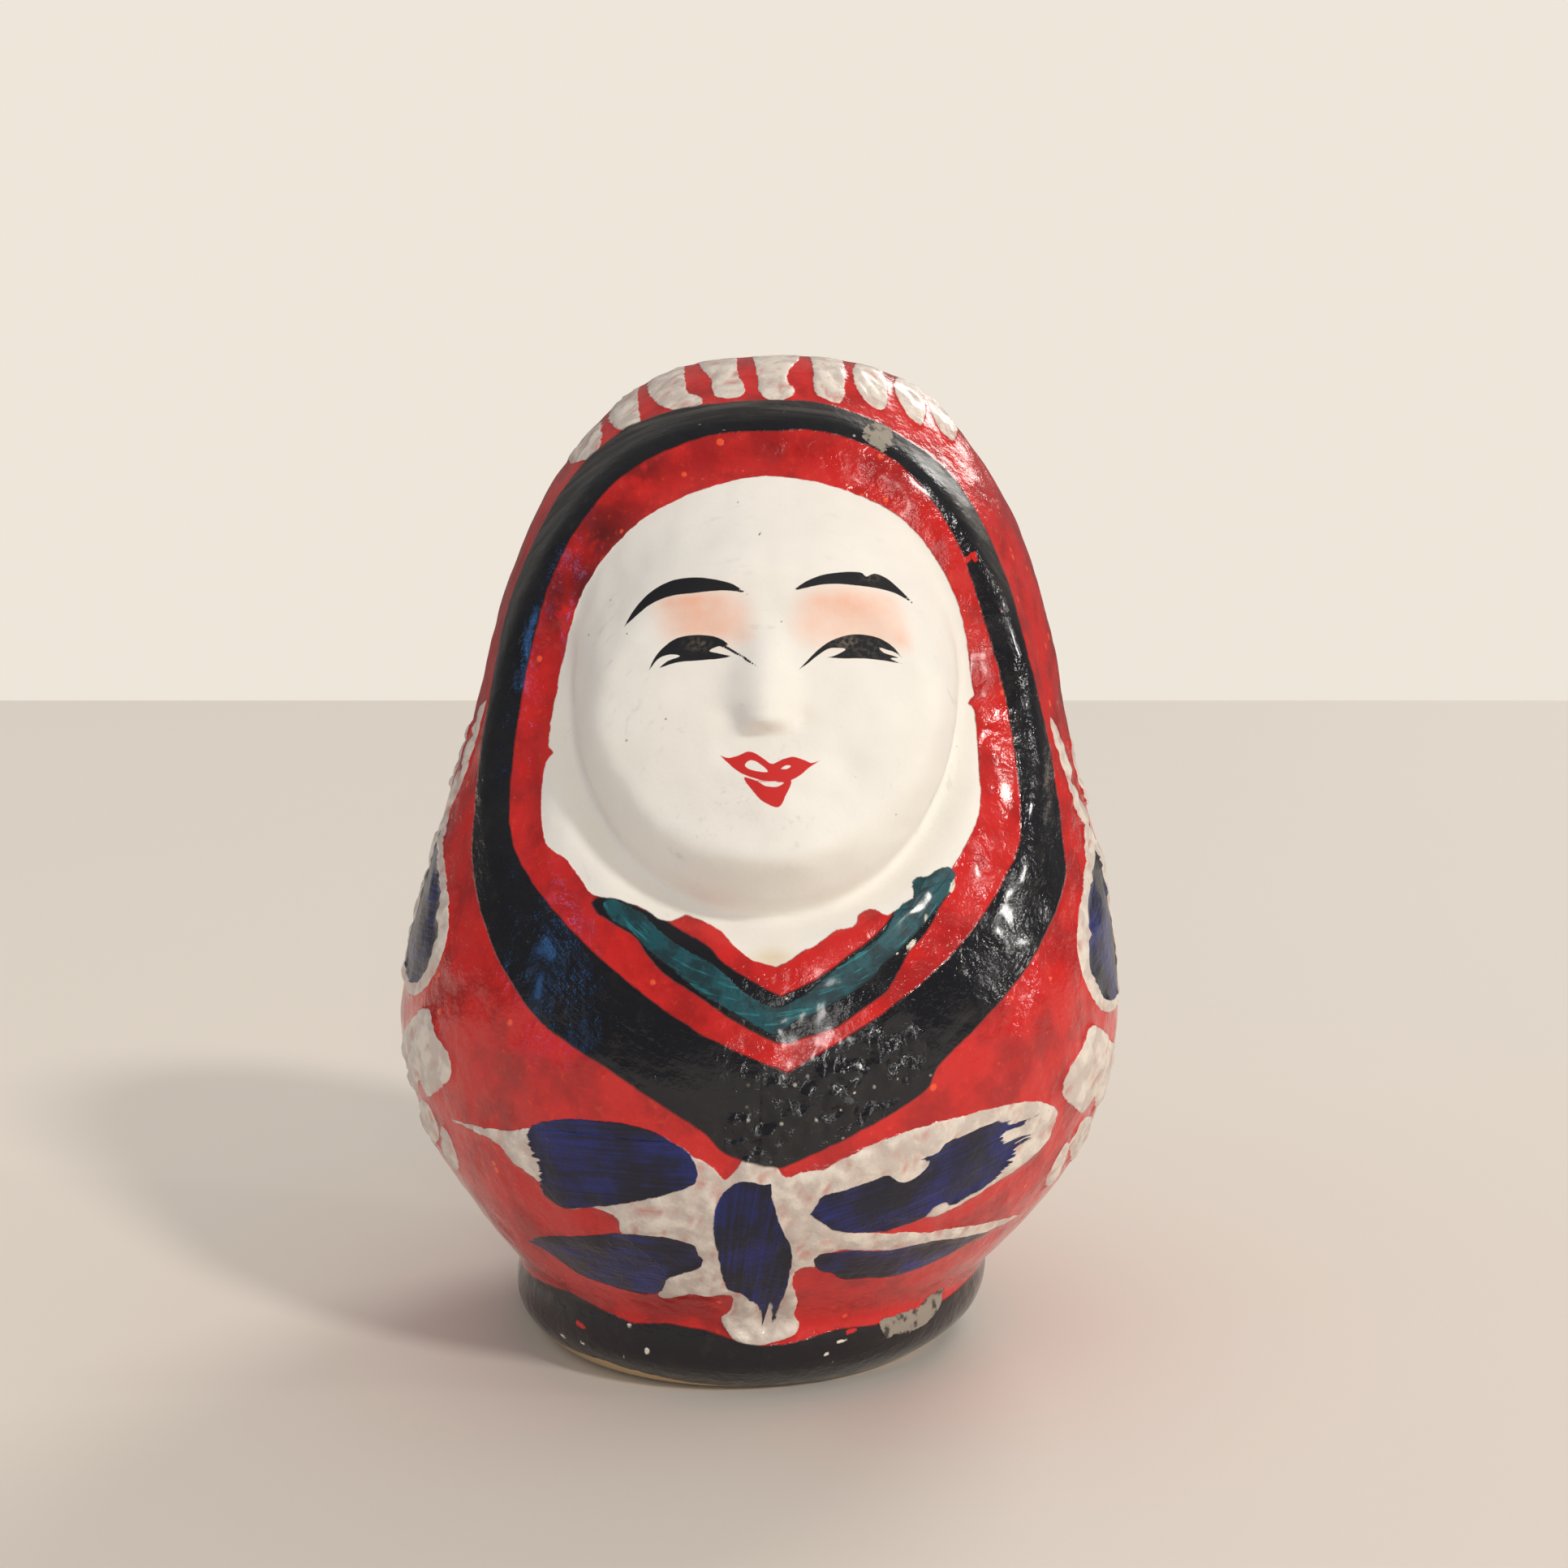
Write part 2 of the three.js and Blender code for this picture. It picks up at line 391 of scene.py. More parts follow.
hoodBand = {
    "outer": [
        (3.1, 84), (7.9, 83.6), (13.2, 81.5), (18.6, 77.5), (22.6, 70), (25.1, 61.6), (27.2, 53.4),
        (28, 45.6), (27.7, 43), (24.9, 38.4), (21.9, 35.2), (16.1, 30.2), (14.9, 28.2), (9.1, 25.1),
        (3.6, 22.6), (3.6, 22.6), (-0.5, 23.8), (-2.8, 25.9), (-9.3, 29.9), (-15.4, 33.3),
        (-19.8, 38.4), (-22.2, 44), (-22.6, 48.7), (-22, 57.4), (-20.6, 66.2), (-17.5, 73.9),
        (-12.8, 80.1), (-6.3, 83.3),
    ],
    "inner": [
        (3.1, 81.1), (7.8, 80.9), (13.5, 78.4), (17.9, 72.8), (20.5, 66.2), (22.8, 57.9), (23.6, 49),
        (22.4, 44.9), (17.9, 39.3), (11.6, 34.6), (4.2, 30.3), (4.2, 30.3), (-2.5, 33.2),
        (-9.4, 37.7), (-15.7, 43.1), (-18.7, 47.6), (-18.9, 54.4), (-17.7, 62.4), (-15, 70.7),
        (-10, 77.2), (-3, 80.6),
    ],
    "centre": (2.1, 52),  # brush strokes run round it
    "turnLength": 0.45,  # millimetres along the band for a degree round the centre
    "dustAndSheenAcross": (0.3, 0.75),  # share of the way from the inner edge to the outer
    "dustAndSheenUp": (62, 76),
}
collar = {
    "black": [
        (-11.4, 42.9), (-10.5, 43.2), (-9.3, 43.2), (-8, 42.7), (-5.7, 41.7), (-4.1, 40.8), (-2.8, 40.2),
        (-1.6, 39.4), (-0.7, 38.4), (1.8, 37), (3.6, 36), (3.6, 36), (5.9, 37.05), (8.7, 38.8),
        (11.3, 40.7), (13.5, 43), (17.3, 44.4), (17.3, 43.5), (16.5, 42.6), (15.1, 40.4), (13.8, 39.2),
        (12.9, 37.7), (11.8, 36.1), (9.2, 34.4), (8, 33.6), (5.3, 32.85), (4.3, 32.5), (3, 32.7),
        (0.2, 34.1), (-2.8, 36), (-5.6, 37.7), (-7.5, 39.9), (-8.4, 40.6), (-9.9, 41.4), (-10.9, 42),
    ],
    "teal": [
        (-10.5, 42.9), (-10.5, 42.9), (-9.9, 43.1), (-8.4, 42.6), (-6.9, 41.8), (-6, 40.9), (-3.9, 39.5),
        (-1.2, 38.1), (0.7, 36.4), (2.4, 35.45), (3.5, 35.2), (5.6, 36.2), (8, 38.1), (9.9, 39.3),
        (11.7, 40.6), (12.5, 41.9), (13.2, 42.6), (14.2, 43.2), (14.1, 44), (14.6, 44.7), (15.3, 44.6),
        (16, 45.1), (16.9, 45.35), (17.6, 44.9), (17.3, 43.8), (16.5, 42.8), (14.6, 40.8), (12.7, 39.1),
        (11.5, 38.3), (10.9, 37.4), (8.5, 35.9), (6, 34.6), (4.5, 34.1), (3.8, 33.4), (2.8, 33.3),
        (0.5, 34.6), (-2.4, 36.2), (-5.1, 38.25), (-6.6, 39.3), (-8.2, 40.8), (-9.7, 41.6),
    ],
}
# The leaves on the belly: degrees round the belly, and height.
leaves = {
    "white": [
        [
            (-56, 23.1), (-56, 23.1), (-49, 23.6), (-43, 23.7), (-37, 24), (-33, 24.6), (-20, 24.8),
            (-11, 24.5), (-9, 23.7), (-7, 23.2), (-4.6, 21.8), (-3, 19), (-6, 16.5), (-20, 17.6),
            (-20, 17.6), (-25, 18.3), (-30, 17.9), (-33, 19.5), (-36, 20.6), (-39, 21.4), (-41, 22.5),
            (-45, 23), (-50, 23.3),
        ],
        [
            (-4.6, 21.6), (-3, 22.3), (-1.4, 23.6), (-0.2, 23.5), (1.4, 23.1), (3, 22.8), (4, 22),
            (6, 21.8), (9, 22.4), (12, 19), (12, 16), (10, 14.6), (11, 13.3), (9.6, 13.5), (7.4, 13.2),
            (7, 11.9), (8, 10.7), (9.2, 9.2), (9, 8), (10.8, 6.8), (10, 5.9), (6, 5.4), (2, 5.1),
            (-2, 5.4), (-4.4, 6.3), (-6, 7.5), (-4, 8.5), (-3.6, 10.3), (-8, 10.2), (-11, 10.3),
            (-18, 9.6), (-15, 12.5), (-20, 15.5), (-21, 16.7), (-20, 17.6), (-10, 19),
        ],
        [
            (5, 21.9), (9, 22.4), (12, 23.3), (16, 24.3), (20, 25), (25, 25.5), (33, 26), (39, 26.1),
            (44, 25.8), (48, 25), (50, 24.1), (49.5, 22), (47, 21), (43, 19.9), (39, 19), (33, 17.8),
            (29, 17.2), (20, 17.5), (10, 16.4), (6, 18),
        ],
        [
            (9, 17.6), (14, 16.75), (19, 16.4), (25, 16), (30, 15.5), (36, 15.3), (43, 14.9),
            (49, 14.6), (57, 14), (57, 14), (50, 13.8), (43, 13.8), (36, 14.1), (29, 14.5),
            (24, 14.3), (17, 14.8), (14, 15), (10, 14.5), (8, 15.8),
        ],
    ],
    "whiteOver": [
        [
            (17.5, 22.4), (19.5, 21.4), (21, 20.9), (22.6, 20.9), (24, 21.4), (25, 22.1), (24.4, 22.6),
            (22.4, 22.95), (20, 23.4),
        ],
        [(26.6, 17.5), (28.5, 17.45), (30.6, 18), (30.4, 18.4), (28.4, 18.2)],
    ],
    "blue": [
        [
            (-34, 24.4), (-32, 25.1), (-29, 25.6), (-26, 25.9), (-20, 26), (-17, 25.9), (-14, 25.5),
            (-11, 24.6), (-9, 23.8), (-8, 22.5), (-8.2, 21.5), (-10, 20.9), (-17, 19.5), (-24, 18.5),
            (-30, 17.8), (-32.5, 18.2), (-34, 18.9), (-33.6, 20.2), (-33, 21.5), (-34.2, 22.6),
        ],
        [
            (9, 19.4), (9.3, 20.1), (11, 20.5), (16, 21.1), (20, 22), (23, 22.9), (26, 22.9),
            (27, 23.8), (30, 24.1), (33, 24.6), (36, 24.8), (40, 24.7), (45, 24.6), (45, 24.6),
            (41, 24), (38, 23.6), (38.6, 22.9), (41, 22.9), (45, 23), (45, 23), (42, 21.9), (41, 20.8),
            (39, 19.4), (35, 18.6), (28, 17.4), (24, 16.8), (20, 16.5), (15, 16.7), (12, 17.1),
            (10, 17.9), (8, 18.7),
        ],
        [
            (-45, 12.9), (-45, 12.9), (-39, 14.1), (-33, 14.8), (-27, 15.5), (-21, 16.2), (-15, 16.3),
            (-11, 16), (-9, 15.6), (-8.8, 14.7), (-8, 14.2), (-9, 13.3), (-12, 12.6), (-15, 11.9),
            (-16.4, 10.6), (-19, 9.9), (-24, 9.8), (-31, 10.3), (-35, 10.6), (-38, 11.5), (-41, 12.6),
        ],
        [
            (10, 14.5), (14, 14.8), (17, 14.8), (23, 14.3), (29, 14.5), (34, 14.3), (44, 13.8),
            (49, 13.8), (49, 13.8), (43, 13.1), (39, 12.5), (35, 11.8), (31, 11.4), (26, 11.2),
            (21, 11.5), (16, 11.8), (14, 12.5), (11, 13.1),
        ],
        [
            (-3, 21.4), (-1, 21.6), (1, 21.3), (2.2, 21.4), (2.3, 20.5), (4, 17.6), (6, 15.3), (6.3, 12.5),
            (6, 9.6), (5.4, 6.3), (5.4, 6.3), (4.4, 8), (4, 9.8), (3.4, 8), (3, 6.7), (3, 6.7), (1.6, 9),
            (-0.2, 9.9), (-2, 10.6), (-4, 11), (-5, 12.5), (-5.5, 14.6), (-6, 17.5), (-5, 20.1),
        ],
    ],
    # where the brush ran dry: place, size and how far it ate into the blue
    "dryEnds": [(-34, 21.8, 2.4, 0.9), (43.5, 23, 4, 0.9), (3.8, 8.2, 2.6, 0.35)],
    # each leaf is brushed along its length: place and direction in degrees
    "brushing": [(-20, 22, 2), (25, 21, 17), (-25, 13, -3), (28, 13, -1), (0, 15, 84)],
}
# Off-white strokes over the crown, seen from above.
crownStrokes = [
    [
        (-12.6, -5.4), (-13.3, -3.6), (-14.8, -2.8), (-15.6, -4.2), (-14.9, -7.4), (-13.2, -10.3),
        (-12.2, -10.7), (-12.1, -8.5),
    ],
    [
        (-9.2, -3.6), (-10, -2.2), (-11.3, -2.6), (-11.8, -5.2), (-11.4, -8.3), (-10.2, -11.3),
        (-9, -12.5), (-8.4, -12.1), (-8.8, -9.7), (-9.1, -6.5),
    ],
    [
        (-5, -4.2), (-5.6, -2), (-7, -1.6), (-8, -3.4), (-8.3, -6.2), (-7.8, -9.2), (-6.8, -11.5),
        (-5.4, -13.1), (-3.8, -14), (-3, -13.7), (-3.3, -12.7), (-4.4, -11.6), (-4.7, -9.7), (-4.9, -7),
    ],
    [
        (-0.3, -5.8), (-0.6, -3), (-2, -1.6), (-3.4, -2.6), (-3.7, -5), (-3.3, -8.2), (-2.4, -10.9),
        (-2.1, -12.9), (-1.2, -13.9), (-0.1, -14.2), (0.6, -13.8), (0.4, -12.6), (-0.1, -10.9),
    ],
    [
        (1.1, -6.3), (1.2, -3.5), (2.6, -2), (4.4, -2.8), (5.1, -5.5), (5.1, -9.1), (4.3, -11.5),
        (4.1, -12.8), (4.7, -13.7), (4.5, -14.6), (3.6, -15), (2.5, -14.9), (1.8, -13.9), (1.7, -12.4),
        (1.4, -10.3),
    ],
    [
        (6.2, -8.2), (6, -5), (7, -3.4), (8.4, -4.2), (9, -7), (9.1, -11), (8.9, -13.7), (8.2, -14.3),
        (7.2, -14.2), (6.4, -13.5), (6.4, -11.2),
    ],
    [
        (10.2, -7.3), (10.4, -4.8), (11.4, -3.9), (12.3, -5), (12.8, -8.4), (12.8, -11), (12.4, -12.7),
        (11.4, -13), (10.4, -12.5), (9.9, -11.3), (9.9, -9.4),
    ],
    [
        (14, -5.5), (14.4, -3.6), (15.3, -3), (16.1, -4.4), (16.3, -7), (16.2, -9.6), (15.8, -11.3),
        (15.1, -11.8), (14.3, -11.5), (13.6, -10.3), (13.6, -8.2),
    ],
    [
        (16.5, -3.7), (17.2, -2), (18.4, -1.4), (19.3, -2.8), (19.5, -5.2), (19, -8.5), (18.3, -9.7),
        (17.4, -9.8), (16.8, -8.4), (16.5, -6),
    ],
]
# Leaf and dabs on each side, drawn for the right side: degrees from the front, and height.
sideMotif = {
    "white": [
        [
            (73, 47.6), (67, 44.6), (61, 41.8), (56.5, 39.5), (55, 36.8), (57, 34), (62, 31.8), (70, 31.3),
            (80, 33), (86, 38), (84, 43.5),
        ],
        [(95, 46), (103, 43), (107, 37.5), (104, 32.5), (98, 31), (92, 34), (90, 40)],
        [
            (58, 30.9), (54, 29.2), (50, 27.4), (50.5, 25.7), (55, 24.2), (60, 23), (64, 24), (70, 22),
            (75, 24), (72, 27), (66, 29),
        ],
        [(62, 22.3), (69, 21.2), (72, 19), (68, 17.7), (63, 18.6), (59.5, 20.7)],
        [(57, 20.8), (60.5, 18.6), (61.5, 16.5), (57.5, 16.6), (54.5, 18.6)],
        [(63, 57), (67, 56), (70, 53), (68, 51), (64.5, 53.5)],
        [(66, 51.6), (71, 50.6), (75, 48.4), (72, 47.4), (68, 48.6)],
        [(78, 55), (84, 53.5), (85, 50), (81, 49), (78, 51.5)],
        [(84, 27), (90, 25), (92, 21.5), (87, 20), (83, 22.5)],
    ],
    "blue": [
        [
            (74, 45.5), (74, 45.5), (67, 42.6), (62, 40.6), (60.5, 38.6), (58.3, 36.6), (60, 34.2),
            (65, 32.4), (73, 32.6), (80, 35.5), (81, 40), (78, 43.5),
        ],
        [(97, 43.5), (102, 40.5), (103, 36), (99, 33), (94.5, 36), (94, 41)],
    ],
}
footBand = [
    (-180, 6.4), (-150, 6.9), (-120, 6.2), (-76, 6.2), (-59, 6.8), (-44, 7.5), (-33, 6.6), (-26, 6.1),
    (-18, 6.6), (-9, 6.3), (-3, 5.6), (3, 5.1), (10, 5.2), (19, 6), (30, 5.8), (47, 5.9), (69, 6.7),
    (110, 6.2), (145, 6.8), (180, 6.4),
]
faceInk = {
    "leftBrow": [
        (-9, 64.55), (-9, 64.55), (-8.1, 66.05), (-6.95, 67.25), (-5.6, 68.05), (-4.3, 68.4), (-2.6, 68.43),
        (-0.6, 68.05), (0.35, 67.6), (1.25, 66.9), (1.25, 66.9), (0.65, 67.2), (-0.6, 67.38),
        (-1.9, 67.35),
        (-3.35, 67.2), (-4.7, 67.07), (-5.8, 66.8), (-6.95, 66.25), (-7.9, 65.5),
    ],
    "rightBrow": [
        (4.55, 67.35), (4.55, 67.35), (5.6, 68.1), (6.9, 68.64), (8.2, 68.88), (9.4, 68.98), (10.2, 68.9),
        (10.5, 68.6), (11.2, 68.9), (12.2, 68.55), (13.1, 67.85), (14.05, 66.95), (14.8, 66.2), (14.8, 66.2),
        (13.85, 66.85), (12.7, 67.38), (11.2, 67.7), (9.65, 67.86), (8.2, 67.95), (6.9, 67.88), (5.6, 67.6),
    ],
    "leftLash": [
        (-6.85, 60.9), (-6.85, 60.9), (-6.4, 61.95), (-5.7, 62.85), (-4.75, 63.55), (-3.85, 63.8),
        (-2.75, 63.88), (-1.65, 63.75), (-0.9, 63.46), (-0.45, 63.1), (-0.45, 63.1), (-1.1, 63),
        (-1.6, 62.85),
        (-2, 62.6), (-1.4, 62.45), (-0.15, 62.17), (-0.15, 62.17), (-1.3, 61.98), (-2.75, 61.86),
        (-4.5, 61.7), (-5.95, 61.25), (-5.95, 61.25), (-5.3, 61.8), (-4.3, 62.2), (-5.1, 62.33),
        (-5.95, 62.05), (-6.45, 61.5),
    ],
    # the last number is the brush's half width
    "leftTails": [
        [(-1.2, 63.15, 0.14), (-0.5, 62.8, 0.12), (0.1, 62.45, 0.11), (0.72, 62.08, 0.03)],
        [(0.42, 62.38, 0.02), (0.75, 62.1, 0.08), (1.1, 61.82, 0.11), (1.95, 61.3, 0.03)],
    ],
    # where the ink is thin: place, size and strength
    "thin": [(-2.9, 63.15, 0.8, 0.9), (8.9, 63.3, 1, 1), (10.6, 62.7, 1.6, 0.4), (10.9, 68.6, 0.7, 0.6)],
    "rightLash": [
        (5.05, 61.12), (5.05, 61.12), (5.75, 61.87), (6.45, 62.58), (7.4, 63.3), (8.5, 63.76), (9.6, 63.95),
        (10.75, 63.84), (11.65, 63.57), (12.55, 62.98), (13.35, 62.02), (13.35, 62.02), (12.75, 62.5),
        (12, 62.75), (11.45, 62.9), (11.8, 62.5), (13, 62.1), (12.3, 62.05), (13.3, 61.6), (13.3, 61.6),
        (11.8, 61.86), (10.15, 62.02), (8.5, 62.02), (7.3, 62.1), (7.3, 62.1), (7.9, 62.25), (8.8, 62.75),
        (8.1, 62.85), (7.4, 62.78), (6.5, 62.22), (5.85, 61.68),
    ],
}
lips = {
    "red": [
        [
            (-1.1, 54.52), (-0.8, 54.4), (-0.4, 54.3), (0.4, 54.5), (1.05, 54.78), (1.7, 54.67), (2.4, 54.2),
            (3.02, 53.87), (3.8, 54.22), (4.6, 54.4), (5.5, 54.15), (6, 53.92), (6.7, 54.1), (6.7, 54.1),
            (5.9, 53.6), (5.2, 53.05), (4.4, 52.62), (3.2, 52.55), (2.3, 52.6), (1.05, 52.97), (0.2, 53.4),
            (-0.7, 54.15),
        ],
        [
            (0.8, 52.85), (1.85, 52.6), (3.2, 52.5), (4.45, 52.6), (4, 51.4), (3.47, 50.6), (2.35, 51),
            (1.5, 51.8),
        ],
    ],
    "gaps": [
        [(0.88, 53.8), (1.26, 54.14), (1.9, 53.95), (2.66, 53.3), (1.9, 53.3), (1.16, 53.5)],
        [(3.67, 53.53), (4.08, 53.77), (4.42, 53.69), (4.2, 53.5), (3.8, 53.45)],
        [(1.85, 52.57), (1.85, 52.57), (2.6, 52.5), (3.9, 52.45), (3.9, 52.45), (3.4, 52.15), (2.5, 52.2)],
    ],
}
blush = {
    "patches": [
        [(-6.3, 66.6), (-4, 67.6), (0.6, 67), (1, 63.4), (-4.4, 63.2), (-5.8, 64)],
        [(5, 66.8), (8, 68), (12.6, 67), (13.9, 63.4), (12.8, 62.8), (5.4, 63.2)],
    ],
    "strength": 0.62,
    "edge": (-1, 1.4),
    # stronger dabs: place, half sizes and strength
    "dabs": [
        (-3.5, 66.7, 2.6, 0.7, 0.5), (-2.6, 65, 1.8, 1.8, 0.35), (13.6, 63.3, 0.9, 0.9, 0.5),
        (9.5, 66.5, 3, 1, 0.3), (1.6, 63.6, 1.6, 0.5, 0.35),
    ],
}
crackle = {"places": [(7.5, 27.5, 5, 2.6), (1.8, 25, 3.2, 1.7), (13, 31.2, 3.6, 2.4)]}
# Small chips and flecks: from and to in the front view, and half width.
flecks = {
    "pale": [
        (17.45, 44.2, 17.25, 43.5, 0.22), (15.25, 42, 14.9, 41.2, 0.15), (14.1, 39.8, 13.5, 39.2, 0.22),
        (12.85, 39, 12.7, 38.95, 0.12), (4.1, 35.95, 4.5, 36.0, 0.16), (5.23, 38.1, 5.25, 38.1, 0.14),
        (9.7, 80.9, 9.8, 80.8, 0.2), (-3.2, 81.8, -3.15, 81.8, 0.1), (-1.1, 81.3, -1.05, 81.3, 0.1),
    ],
    # the same round the foot: degrees and height
    "footPale": [
        (-48, 3.05, -46, 2.95, 0.17), (-40.5, 3.2, -39.5, 3.1, 0.15), (-28.3, 3, -27.6, 2.95, 0.12),
        (-22, 3.95, -21.9, 3.8, 0.33), (-27.4, 5.9, -26.4, 5.85, 0.16), (20, 4.85, 22, 5, 0.16),
        (17.5, 3.9, 18.3, 3.95, 0.15), (20, 3, 20.1, 3, 0.13), (13, 5.4, 13.1, 5.4, 0.1),
    ],
    "red": [(19.0, 70.2, 19.9, 71, 0.28), (19.8, 70.8, 20.3, 70.2, 0.2), (22.2, 66.6, 22.4, 66.2, 0.12)],
    "footRed": [(-41.5, 4.9, -39, 4.7, 0.25), (-50, 4.5, -49.6, 3.9, 0.12), (22, 5.6, 24, 5.7, 0.22)],
    "dirt": [
        (1.85, 72.2, 1.9, 72.0, 0.11), (-0.1, 72, 0, 71.9, 0.07), (2.1, 72.6, 2.15, 72.55, 0.04),
        (9.8, 71.8, 9.7, 71.2, 0.05), (9.5, 71, 9.4, 70.6, 0.04), (11.3, 71.6, 11.2, 71.1, 0.04),
        (6.6, 45.95, 6.8, 45.8, 0.1), (4.3, 48.2, 4.3, 48.1, 0.06), (-7.9, 57.5, -7.8, 57.3, 0.09),
        (-7.3, 57, -7.1, 56.9, 0.07), (-7.5, 57.7, -7.4, 57.7, 0.05), (13.1, 58, 13.1, 57.8, 0.08),
        (-1.6, 44.5, -1.5, 44.4, 0.07),
    ],
}
wornSpots = {
    "hood": [(10.3, 80.9), (11.6, 82.2), (13, 81.6), (13.1, 80.6), (12.4, 79.6), (11.2, 79.9)],
    # degrees and height
    "foot": [
        (30, 5.9), (35, 6.2), (41, 6.3), (43, 6.8), (48.5, 7.2), (49, 5.9), (46, 4.8), (42, 4.4),
        (37, 4.5), (32, 4.6),
    ],
}
stain = {"x": 3, "z": 38.8, "size": 1.6}
# painted shade on the red in the valley inside the hood: place, half sizes and strength
valleyShade = [
    (-11.2, 72.6, 2.2, 3.2, 1), (-12.6, 67.6, 2.2, 4, 1), (-8.1, 78, 2.6, 1.4, 0.8),
    (-15.4, 67, 1.6, 4, 0.9), (4, 79.6, 6, 1.2, 0.4),
]
# Height of the bare paper at the foot's rim, by degrees round it.
bareRim = [
    (-180, 0.4), (-90, 0.8), (-49, 1.6), (-34, 1.75), (-24, 1.3), (-10, 0.75), (3, 0.4), (20, 0.2),
    (60, 0.5),
    (110, 0.2), (180, 0.4),
]


def onSides(points):
    # the left side has the same motif, a little higher
    return anyOf(onBelly([(side * a, z + lift) for a, z in points]) for side, lift in ((1, 0), (-1, 1.5)))


def crownField():
    top = surface[:, 2] > 76
    field = np.full(len(surface), -3.0)
    field[top] = anyOf(outlineField(surface[top, :2], points) for points in crownStrokes)
    return field


def roundFoot(edge):
    edge = np.array(edge)
    return np.interp(azimuthDegrees, edge[:, 0], edge[:, 1])


def fleckField(names):
    found = []
    for name in names:
        onFoot = name.startswith("foot")
        for x1, z1, x2, z2, half in flecks[name]:
            wide = degree if onFoot else 1
            spine = [(x1 * wide, z1, half), (x2 * wide, z2, half * 0.8)]
            found.append(strokeField(roundBelly if onFoot else front, spine, 1.0))
    return anyOf(found)


def spots(chart, places):
    # soft round spots: place, half sizes and strength
    x, z = chart.T
    return anyOf(rise * bell(np.hypot((x - px) / w, (z - pz) / h)) for px, pz, w, h, rise in places)


def blushField(b):
    patches = anyOf(onFront(points) for points in b["patches"])
    return smoothstep(patches, *b["edge"]) * (b["strength"] + spots(front, b["dabs"]))


def bandDustAndSheen(b):
    # a grey film on the upper half of the hood's roll, where it faces up: dust, and a painted sheen of the
    # light from above
    outer = np.maximum(onFront(b["outer"]), 0.01)
    inner = np.maximum(-onFront(b["inner"]), 0.01)
    across = inner / (inner + outer)
    inFront = surface[:, 1] <= 0
    return smoothstep(across, *b["dustAndSheenAcross"]) * smoothstep(surface[:, 2], *b["dustAndSheenUp"]) * inFront


def hoodBrushing(b):
    x, z = front[:, 0] - b["centre"][0], front[:, 1] - b["centre"][1]
    turn = np.degrees(np.arctan2(x, z))
    return np.column_stack([turn * b["turnLength"], np.hypot(x, z), 0 * x])


def leafBrushing(directions):
    # along and across the nearest leaf
    nearest = np.full(len(surface), np.inf)
    brushing = np.zeros((len(surface), 3))
    for number, (a, z, direction) in enumerate(directions):
        offset = roundBelly - np.array([a * degree, z])
        turn = math.radians(direction)
        along = offset @ np.array([math.cos(turn), math.sin(turn)])
        across = offset @ np.array([-math.sin(turn), math.cos(turn)])
        distance = np.hypot(along * 0.35, across)
        closer = distance < nearest
        nearest[closer] = distance[closer]
        brushing[closer] = np.column_stack([along, across, 0 * along + 20 * number])[closer]
    return brushing


fields = {}
fields["face"] = onFront(faceField["outline"])
bandField = np.minimum(onFront(hoodBand["outer"]), -onFront(hoodBand["inner"]))
footField = roundFoot(footBand) - surface[:, 2]
fields["black"] = anyOf([bandField, onFront(collar["black"]), footField])
fields["teal"] = onFront(collar["teal"])
whites = [onBelly(points) for points in leaves["white"]] + [onSides(p) for p in sideMotif["white"]]
fields["white"] = anyOf(whites + [crownField()])
blues = anyOf([onBelly(p) for p in leaves["blue"]] + [onSides(p) for p in sideMotif["blue"]])
fields["blue"] = np.minimum(blues, -anyOf(onBelly(p) for p in leaves["whiteOver"]))
fields["dry"] = spots(roundBelly, [(a * degree, z, r, r, eaten) for a, z, r, eaten in leaves["dryEnds"]])
inkShapes = [onFront(faceInk[k]) for k in ("leftBrow", "rightBrow", "leftLash", "rightLash")]
fields["ink"] = anyOf(inkShapes + [strokeField(front, spine, 1.0) for spine in faceInk["leftTails"]])
fields["inkThin"] = spots(front, [(x, z, r, r * 0.6, thin) for x, z, r, thin in faceInk["thin"]])
lipShapes = anyOf(onFront(p) for p in lips["red"])
fields["lips"] = np.minimum(lipShapes, -anyOf(onFront(p) for p in lips["gaps"]))
fields["blush"] = blushField(blush)
# painted shade in the valley inside the hood
fields["valleyShade"] = spots(front, valleyShade)
fields["crackle"] = spots(front, [place + (1,) for place in crackle["places"]])
fields["pale"] = fleckField(["pale", "footPale"])
fields["scrape"] = fleckField(["red", "footRed"])
fields["dirt"] = fleckField(["dirt"])
fields["worn"] = anyOf([onFront(wornSpots["hood"]), onBelly(wornSpots["foot"])])
# dust, with a painted sheen where the hood's roll faces up
fields["dustAndSheen"] = bandDustAndSheen(hoodBand)
fields["stain"] = spots(front, [(stain["x"], stain["z"], stain["size"], stain["size"] * 0.5, 1)])
fields["bare"] = roundFoot(bareRim) - surface[:, 2]
brushing = {"hoodBrush": hoodBrushing(hoodBand), "leafBrush": leafBrushing(leaves["brushing"])}
print("paint laid out:", ", ".join(fields))


# Thick paint stands a little proud of the paper: the dabbed white most.
paintBuild = {
    "edge": 0.35, "red": 0.05, "white": 0.06, "blue": 0.04, "teal": 0.06,
    "dabSize": 1.9, "dabRise": 0.75, "dabLimit": 0.45, "crease": 0.13,
    "fadeIn": (1, 6),  # height over the floor
    "crackleSizes": [(1.1, 0.85), (0.7, 0.22)],
}


